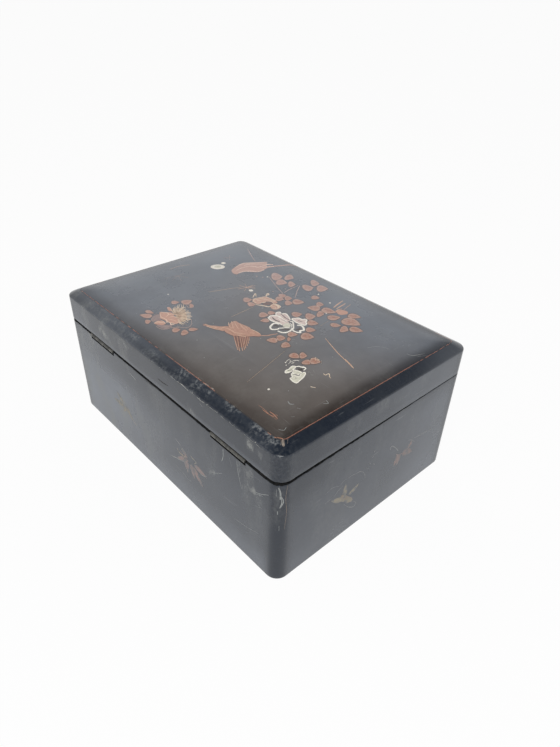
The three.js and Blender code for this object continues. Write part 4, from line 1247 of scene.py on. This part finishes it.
# The birds: two small birds in salmon lacquer, one flying with its wings spread, one with them closed
# Each body is a flat raised shape with a dark edge, and its feathers are drawn in pale gold lines.
bird_red = painted("bird_red", (0.50, 0.275, 0.195), (0.40, 0.20, 0.135))
bird_dusk = painted("bird_pale", (0.46, 0.22, 0.14), (0.56, 0.34, 0.24))
feather_gold = painted("feather_gold", (0.68, 0.47, 0.33), (0.56, 0.36, 0.25), worn=0.75)
FLYING_BIRD = [
    [(-6, 38), (-6, 34), (-3, 30), (-2, 27), (-3, 24), (-7, 24), (-12, 23), (-18, 22), (-21, 23),
     (-26, 23), (-30, 22), (-33, 23), (-33, 25), (-30, 28), (-28, 31), (-24, 34), (-21, 38), (-19, 40),
     (-12, 41), (-9, 40)],
    [(-6, 34), (-2, 39), (2, 42), (5, 45), (10, 47), (4, 46), (-2, 45), (-5, 43), (-9, 41)],
]
WING_ROOT = [
    (-18, 39), (-22, 41), (-30, 45), (-35, 47), (-37, 44), (-36, 40), (-33, 36), (-28, 31), (-22, 34),
]
FEATHERS = [
    ((-19, 39), (-38, 50)), ((-22, 38), (-40, 50)), ((-23, 36), (-41, 48)), ((-24, 35), (-41, 46)),
    ((-25, 34), (-40, 44)), ((-26, 33), (-38, 41)), ((-27, 32), (-36, 38)), ((-28, 31), (-33, 35)),
]
PALE_LINES = [
    ([(-4, 39), (-7, 37), (-11, 36), (-16, 36), (-20, 34), (-24, 31)], 1.1),
    ([(-1, 30), (-6, 33), (-10, 34)], 0.8), ([(-1, 27), (-6, 30), (-11, 33)], 0.8),
    ([(-2, 25), (-8, 28), (-14, 30)], 0.8), ([(-8, 24), (-14, 26), (-20, 27)], 0.8),
    ([(-14, 23), (-20, 25)], 0.7), ([(-20, 23), (-26, 22), (-31, 22)], 0.9),
    ([(-21, 37), (-24, 35), (-27, 33)], 0.9), ([(-6, 40), (-1, 43), (9, 46)], 0.7),
    ([(-9, 40), (-3, 44), (5, 47)], 0.6), ([(-24, 27), (-28, 25)], 0.9),
]
birds, bird_edges, feathers = Relief(on_lid), Relief(on_lid), Relief(on_lid)
for shape in FLYING_BIRD:
    birds.plate(shape)
    bird_edges.stroke(shape, 0.6, height=0.12, closed=True)
bird_edges.plate(WING_ROOT, height=0.05)
for root, tip in FEATHERS:
    birds.stroke([root, tip], 1.35, height=0.2, taper=0.55)
    feathers.stroke([Vector(root).lerp(Vector(tip), 0.4), Vector(tip)], 0.45, height=0.26, taper=0.6)
birds.stroke([(0, 43), (4, 46), (9, 48)], 0.9, height=0.14)
birds.stroke([(-33, 23), (-36, 19), (-37, 16), (-39, 11)], 1.3, height=0.14)
feathers.strokes(PALE_LINES, height=0.27, taper=0.5)
for path in (
    [(-3, 32), (-8, 35)], [(-2, 29), (-8, 32)], [(-3, 26), (-11, 30)], [(-9, 26), (-17, 29)],
    [(-12, 38), (-19, 38)], [(-5, 42), (2, 45)],
):
    bird_edges.stroke(path, 0.6, height=0.25)
birds.make("flying_bird", "lid", bird_red)

RESTING_BIRD = [
    (76, -34), (79, -40), (80, -46), (81, -52), (79, -59), (76, -64), (73, -69), (70, -73), (65, -68),
    (60, -65), (58, -59), (57, -54), (59, -49), (62, -46), (66, -44), (67, -41), (67, -36), (66, -32),
    (70, -31),
]
resting, resting_feathers = Relief(on_lid), Relief(on_lid)
resting.plate(RESTING_BIRD)
resting.stroke([(60, -64), (59, -71), (56, -80), (54, -89), (49, -94)], 2.4, height=0.14, taper=0.3)
bird_edges.stroke(RESTING_BIRD, 0.5, height=0.12, closed=True)
resting.make("resting_bird", "lid", bird_dusk)
for path in (
    [(73, -37), (74, -46), (71, -55), (66, -58), (65, -63), (65, -68)],
    [(79, -41), (81, -48), (81, -54), (76, -62), (71, -70)],
    [(67, -34), (67, -41), (63, -47), (58, -52), (58, -59)], [(77, -50), (76, -57), (72, -62), (69, -66)],
    [(69, -66), (65, -70), (62, -74)], [(62, -60), (61, -66), (58, -72)],
):
    resting_feathers.stroke(path, 1.8, height=0.3, taper=0.5)
resting_feathers.make("resting_bird_feathers", "lid", pale_peach)
feathers.make("bird_feathers", "lid", feather_gold)
bird_brown = painted("bird_brown", (0.13, 0.060, 0.042), (0.22, 0.11, 0.08), worn=0.9)
bird_edges.make("bird_outlines", "lid", bird_brown)


# The small motifs: a moon, a star of grass, crossed twigs, a diamond flower and scattered dots
# They are single touches of the brush in gold, orange and white, some of them nearly rubbed away.
MOON_MIDDLE = Vector((90.5, -28.5))
MOON_TURN = math.radians(50)
MOON_HALVES = (7.0, 5.6)
HEART_HALVES = (3.6, 2.8)


def moon_outline(half_length, half_width):
    """An oval about the moon's middle, its length turned across the lid."""
    ring = []
    for step in range(16):
        angle = step * math.pi / 8
        reach = Vector((half_length * math.cos(angle), half_width * math.sin(angle)))
        reach.rotate(Matrix.Rotation(MOON_TURN, 2))
        ring.append(MOON_MIDDLE + reach)
    return ring


moon = Relief(on_lid)
moon.mound(moon_outline(*MOON_HALVES))
moon.dot(94, -38, 2.4)
for x, y, size in (
    (32, -21, 2.1), (-29, -59, 0.9), (71, 40, 0.7), (-40, -43, 0.7), (-90, 65, 0.9), (44, -51, 0.8),
    (-11, -63, 0.8),
):
    moon.dot(x, y, size)
moon.make("moon_and_white_dots", "lid", shell_white, veiled=0.3)
moon_heart = Relief(on_lid)
moon_heart.mound(moon_outline(*HEART_HALVES), height=0.27)
moon_heart.make("moon_heart", "lid", cream_white, veiled=0.3)
gold_dots = Relief(on_lid)
for x, y in ((-82, 16), (-85, 15), (-86, 13), (-83, 13)):
    gold_dots.dot(x, y, 0.6, 0.3)
gold_dots.make("leaf_dots", "lid", pale_gold)
touches = Relief(on_lid)
for tip in ((45, -25), (39, -29), (33, -27), (31, -21), (35, -16), (41, -14), (37, -30), (46, -19)):
    touches.stroke([(39, -22), tip], 1.1, height=0.16)
touches.strokes([
    ([(-37, -55), (-35, -62), (-33, -71)], 1.5), ([(-40, -55), (-39, -62), (-38, -69)], 1.3),
    ([(-45, -59), (-42, -71)], 1.2), ([(-43, -51), (-42, -55), (-43, -59)], 1.2),
], height=0.18)
touches.make("orange_touches", "lid", orange_gold)
diamond = Relief(on_lid)
diamond.plate([(-43, -52), (-44, -57), (-49, -59), (-52, -56), (-50, -51), (-47, -50)])
diamond.make("diamond_flower", "lid", salmon)
squiggles = Relief(on_lid)
squiggles.stroke([(-101, 23), (-103, 23), (-103, 21), (-104, 20), (-106, 22), (-108, 23)], 0.7, height=0.18)
squiggles.stroke([(-106, 41), (-108, 40), (-109, 39)], 0.5, height=0.14)
for x in (-84, -86, -88):
    squiggles.stroke([(x, 12), (x - 3, 15)], 0.4, height=0.26)
squiggles.make("gold_squiggles", "lid", pale_gold)
faded_gold = painted("faded_gold", (0.30, 0.225, 0.16), (0.17, 0.13, 0.10), worn=0.56)
ghosts = Relief(on_lid)
for root, tips in (((97, 12), ((100, 25), (99, 14), (98, 5), (88, 7), (86, 16), (92, 22))),
                   ((101, -51), ((105, -46), (106, -55), (97, -55), (96, -47), (101, -44)))):
    for tip in tips:
        ghosts.stroke([root, tip], 0.9, height=0.08)
ghosts.make("ghost_tufts", "lid", faded_gold)


# The faded sprigs: leaves and grasses brushed in gold and red on the box's four sides
# Only thin ghosts of them are left, almost level with the black. Those on the front and the right end
# are the back's and the left end's, turned round.
box_tree = BVHTree.FromObject(box_skin, bpy.context.evaluated_depsgraph_get())


def on_back(x, z, lift):
    """The point on the box's back or its roundings, x along and z up in millimetres."""
    return cast(box_tree, (x * MM, 1, z * MM), (0, -1, 0), lift)


def on_left_end(y, z, lift):
    """The same on the left end, y across and z up."""
    return cast(box_tree, (-1, y * MM, z * MM), (1, 0, 0), lift)


def on_front(x, z, lift):
    """The same on the front, where x runs the other way, so that a motif is turned round and not mirrored."""
    return cast(box_tree, (-x * MM, -1, z * MM), (0, 1, 0), lift)


def on_right_end(y, z, lift):
    """The same on the right end, where y runs the other way."""
    return cast(box_tree, (1, -y * MM, z * MM), (-1, 0, 0), lift)


OPPOSITE = {on_back: ("front", on_front), on_left_end: ("right_end", on_right_end)}


def sprig(face, name, material, strokes, petals=(), leaves=()):
    """Brush strokes, flat petals and leaves, on a face and, turned round, on the opposite one."""
    blades = [leaf_outline(*leaf) for leaf in leaves]
    for start, side in (("back" if face is on_back else "left_end", face), OPPOSITE[face]):
        made = Relief(side)
        made.strokes(strokes, height=0.04)
        for petal in petals:
            made.plate(petal, height=0.03)
        for blade in blades:
            made.mound(blade, height=0.04)
        made.make(start + name, "box", material)


BLOOMY = (0.115, 0.120, 0.128)
ghost_gold = painted("ghost_gold", (0.26, 0.225, 0.165), (0.180, 0.168, 0.140), worn=0.50, under=BLOOMY)
ghost_red = painted("ghost_red", (0.245, 0.170, 0.155), (0.180, 0.150, 0.145), worn=0.50, under=BLOOMY)
ghost_pale = painted("ghost_pale", (0.23, 0.232, 0.225), (0.165, 0.168, 0.170), worn=0.50, under=BLOOMY)
sprig(on_left_end, "_gold_flower", ghost_gold, [
    ([(37, 47), (37, 53)], 1.0), ([(36, 42), (32, 38), (27, 35)], 1.2),
    ([(41, 44), (36, 40), (31, 37)], 1.4),
], leaves=[(34, 44, 35, 57, 4), (30, 42, 19, 47, 4), (36, 42, 49, 49, 5), (33, 38, 24, 33, 5)])
ghost_brown = painted("ghost_brown", (0.235, 0.185, 0.135), (0.17, 0.15, 0.125), worn=0.50, under=BLOOMY)
sprig(on_left_end, "_brown_heart", ghost_brown, [([(42, 46), (37, 44), (33, 41)], 1.8)], [
    [(39, 48), (34, 45), (29, 40), (25, 36), (25, 32), (30, 35), (37, 42)],
])
sprig(on_left_end, "_pale_lines", ghost_pale, [
    ([(34, 35), (28, 28), (22, 24), (19, 26), (23, 31)], 0.7),
    ([(-16, 60), (-15, 63), (-18, 63), (-23, 58), (-27, 53)], 1.1),
    ([(57, 61), (52, 63), (46, 62), (42, 60), (38, 62), (33, 62), (29, 62), (25, 61), (20, 60), (16, 57),
      (13, 52), (12, 48)],
     0.6),
    ([(56, 51), (51, 52), (46, 53), (42, 56), (38, 57)], 0.6),
    ([(-38, 57), (-42, 56), (-46, 53), (-49, 50)], 0.8),
    ([(-47, 55), (-52, 54), (-60, 53), (-67, 52), (-72, 51)], 0.9), ([(5, 72), (6, 71)], 1.6),
    ([(6, 67), (7, 66)], 1.4), ([(10, 62), (8, 61)], 1.8), ([(4, 58), (3, 57)], 1.6),
    ([(11, 58), (10, 57)], 1.4),
])
sprig(on_left_end, "_red_sprig", ghost_red, [
    ([(-25, 50), (-30, 47), (-34, 46)], 1.8),
], leaves=[(-34, 47, -48, 40, 7), (-28, 49, -25, 37, 4), (-31, 47, -28, 36, 4), (-42, 47, -44, 54, 4)])
sprig(on_back, "_gold_sprig", ghost_gold, [
    ([(60, 48), (56, 45), (51, 43)], 1.4), ([(48, 36), (44, 33), (40, 31)], 1.0),
], leaves=[(58, 43, 77, 41, 5), (56, 44, 46, 34, 5), (60, 45, 70, 53, 4), (56, 43, 62, 35, 4)])
sprig(on_back, "_pale_lines", ghost_pale, [
    ([(-23, 59), (-28, 57), (-34, 54), (-39, 52)], 0.9),
    ([(-13, 34), (-20, 37), (-29, 40), (-35, 43)], 1.6),
    ([(-20, 28), (-28, 27), (-37, 25), (-42, 26)], 0.6), ([(-52, 45), (-58, 45), (-63, 48)], 1.2),
])
sprig(on_back, "_gold_bits", ghost_gold, [
    ([(-24, 50), (-28, 47), (-36, 48)], 1.4), ([(-43, 55), (-45, 54), (-50, 53), (-47, 49)], 1.1),
    ([(-33, 52), (-37, 50)], 1.0),
])
sprig(on_back, "_red_sprig", ghost_red, [([(-28, 50), (-34, 47), (-40, 46)], 1.2)], leaves=[
    (-36, 47, -37, 33, 6), (-42, 46, -46, 33, 5), (-45, 45, -57, 32, 6), (-47, 48, -63, 46, 5),
    (-34, 46, -22, 38, 4), (-38, 48, -30, 55, 4),
])


# The knocks and scrapes: pale scratches by the near corner and dark nicks along the seam
# They are worn into the lacquer, as level with it as a scratch can be. The reddish ground shows where
# the top has rubbed through beside its edge.
pale_scrape = painted("pale_scrape", (0.27, 0.28, 0.27), (0.19, 0.20, 0.20), worn=0.60)
SCRAPES = [
    ([(-139, 94), (-140, 89), (-140, 83)], 1.0), ([(-140, 87), (-141, 81), (-140, 75)], 1.3),
    ([(-138, 92), (-138, 86)], 0.6), ([(-139, 72), (-139, 69)], 1.2), ([(-140, 58), (-140, 53)], 0.6),
    ([(-85, 91), (-85, 84), (-83, 78)], 0.8), ([(-100, 91), (-101, 82), (-104, 70)], 0.6),
    ([(-116, 75), (-124, 78), (-133, 84)], 0.6), ([(-118, 74), (-127, 78)], 0.8),
    ([(-69, 57), (-76, 61), (-83, 66)], 0.45), ([(39, 88), (34, 87), (30, 86)], 0.8),
    ([(-118, 62), (-126, 66)], 0.4), ([(-96, 30), (-110, 33), (-124, 38)], 0.35),
    ([(-133, 37), (-136, 38)], 1.0), ([(-92, 88), (-94, 80)], 0.5),
]
scrapes = Relief(on_back)
scrapes.strokes(SCRAPES, height=0.02)
scrapes.make("pale_scrapes", "box", pale_scrape)
top_scrapes = Relief(on_lid)
top_scrapes.strokes([
    ([(-98, -28), (-102, -36), (-110, -40)], 0.4), ([(-122, -46), (-126, -48), (-130, -58)], 0.6),
    ([(-129, -50), (-133, -60)], 0.5), ([(-108, 64), (-111, 65), (-113, 63)], 1.2),
    ([(-117, 64), (-119, 63)], 1.3), ([(-124, 47), (-126, 44), (-123, 43)], 0.6),
    ([(-72, 69), (-75, 68)], 0.7), ([(-121, 73), (-122, 71)], 0.8),
    ([(-124, 87), (-127, 85), (-126, 82)], 0.6),
], height=0.02)
for x, y in (
    (-7, 65), (6, 40), (-36, 26), (-108, 40), (-100, 56), (63, 6), (31, -33), (-64, 60), (-30, 75),
    (-90, 2),
):
    top_scrapes.dot(x, y, 0.45, 0.03)
top_scrapes.make("top_scrapes", "lid", pale_scrape)
rubbed_ground = Relief(on_lid)
rubbed_ground.strokes([
    ([(-98, 81), (-104, 81), (-110, 82)], 0.4), ([(-103, 82), (-110, 82), (-114, 81)], 0.7),
    ([(-108, 80), (-112, 80), (-117, 81)], 1.1), ([(-112, 82), (-117, 82)], 0.7),
    ([(-121, 93), (-124, 93)], 1.2), ([(-127, 93), (-129, 92), (-132, 90)], 1.0),
    ([(-112, 79), (-115, 79)], 0.7),
], height=0.02)
red_ground = painted("red_ground", (0.44, 0.20, 0.12), (0.28, 0.14, 0.09), worn=0.62)
rubbed_ground.make("rubbed_red_ground", "lid", red_ground)
corner_rub = Relief(on_lid)
corner_rub.strokes([
    ([(-132, 90), (-134, 92), (-136, 93)], 2.6), ([(-130, 92), (-134, 94)], 1.4),
    ([(-134, 88), (-136, 90)], 1.2),
], height=0.02)
rubbed_tan = painted("rubbed_tan", (0.30, 0.25, 0.205), (0.12, 0.10, 0.09), worn=0.54)
corner_rub.make("rubbed_corner", "lid", rubbed_tan)
corner_line = Relief(on_left_end)
corner_line.stroke([(94, 95), (95, 84), (94, 70), (95, 54)], 0.5, height=0.02)
worn_brown = painted("worn_brown", (0.17, 0.125, 0.095), (0.11, 0.09, 0.08), worn=0.58)
corner_line.make("worn_corner_line", "box", worn_brown)


def on_lid_back(x, z, lift):
    """The point on the back of the lid, x along and z up in millimetres."""
    return cast(lid_tree, (x * MM, 1, z * MM), (0, -1, 0), lift)


ARRIS_CHIPS = [
    ([(-24, 119.5), (-31, 119)], 0.5), ([(-33, 119.2), (-40, 119.6), (-47, 118.8)], 0.8),
    ([(-49, 119.4), (-54, 119)], 0.4), ([(-57, 119.2), (-62, 118.6), (-66, 119.4)], 0.7),
    ([(-68, 119), (-81, 119.4)], 0.4), ([(-84, 119.2), (-88, 118.4)], 0.8),
    ([(-93, 119.4), (-97, 119)], 0.5), ([(-101, 118.6), (-104, 119.2)], 0.6),
    ([(-108, 119.2), (-117, 118.8)], 0.4), ([(4, 119.2), (-3, 119.4)], 0.3),
    ([(-10, 119.2), (-19, 119.6)], 0.35), ([(-60, 116), (-63, 114)], 0.5),
    ([(-120, 119), (-124, 118)], 0.7),
]
arris_chips = Relief(on_lid_back)
arris_chips.strokes(ARRIS_CHIPS, height=0.02, taper=0.5)
chipped_ground = painted("chipped_ground", (0.36, 0.35, 0.32), (0.20, 0.20, 0.20), worn=0.56)
arris_chips.make("arris_chips", "lid", chipped_ground)
nicks = Relief(on_lid_back)
nicks.stroke([(-6, 107), (-13, 107), (-20, 108)], 1.7, height=0.02)
nick_black = painted("nick_black", (0.006, 0.006, 0.008), (0.012, 0.012, 0.014), 0.6, worn=0.95)
nicks.make("lid_nick", "lid", nick_black)
rim_chip = Relief(on_back)
rim_chip.stroke([(16, 94), (6, 95), (-5, 96)], 1.1, height=0.02)
rim_chip.make("rim_chip", "box", nick_black)


# The hinges: two small brass butt hinges, blackened with age, turning on iron pins
# The leaves are let into the rim and screwed down, and the barrels show as a line along the back.
def metal(name, colour, tarnish, roughness):
    """Metal under a patchy tarnish, with fine marks drawn along its length."""
    material, tree = new_material(name)
    place = add_node(tree, "ShaderNodeTexCoord").outputs["Object"]
    dulled = grainy(tree, place, 260, 6, [(0.36, 0.0), (0.58, 1.0)])
    base = mix_colours(tree, dulled, colour, tarnish)
    rough = maths(tree, "ADD", maths(tree, "MULTIPLY", dulled, 0.25), roughness)
    drawn = grainy(tree, place, 1, 3, stretch=(150, 2500, 2500))
    bump = add_node(tree, "ShaderNodeBump", {"Height": drawn, "Strength": 0.25, "Distance": 0.05 * MM})
    shader = add_node(tree, "ShaderNodeBsdfPrincipled", {
        "Base Color": base, "Metallic": 1.0, "Roughness": rough, "Normal": bump.outputs["Normal"],
    })
    add_node(tree, "ShaderNodeOutputMaterial", {"Surface": shader.outputs[0]})
    return material


def finish_nodes(start, material, end=""):
    """Gives the frame's own solids with such names this material."""
    for name, piece in nodes.items():
        if name.startswith(start) and name.endswith(end):
            piece.data.materials.clear()
            piece.data.materials.append(material)


finish_nodes("hinge_", metal("blackened_brass", (0.17, 0.165, 0.15), (0.11, 0.11, 0.105), 0.36))
finish_nodes("hinge_", metal("pin_iron", (0.30, 0.29, 0.27), (0.12, 0.10, 0.085), 0.4), end="_pin")


# The lock: a brass box lock let into the front wall, its bolt, and the staple in the lid
# The parts are plain drawn brass, dulled in the air, and the keyhole plate is held by two pins.
aged_brass = metal("aged_brass", (0.42, 0.36, 0.22), (0.17, 0.145, 0.09), 0.34)
for fitting in ("lock_", "staple_", "keyhole_"):
    finish_nodes(fitting, aged_brass)
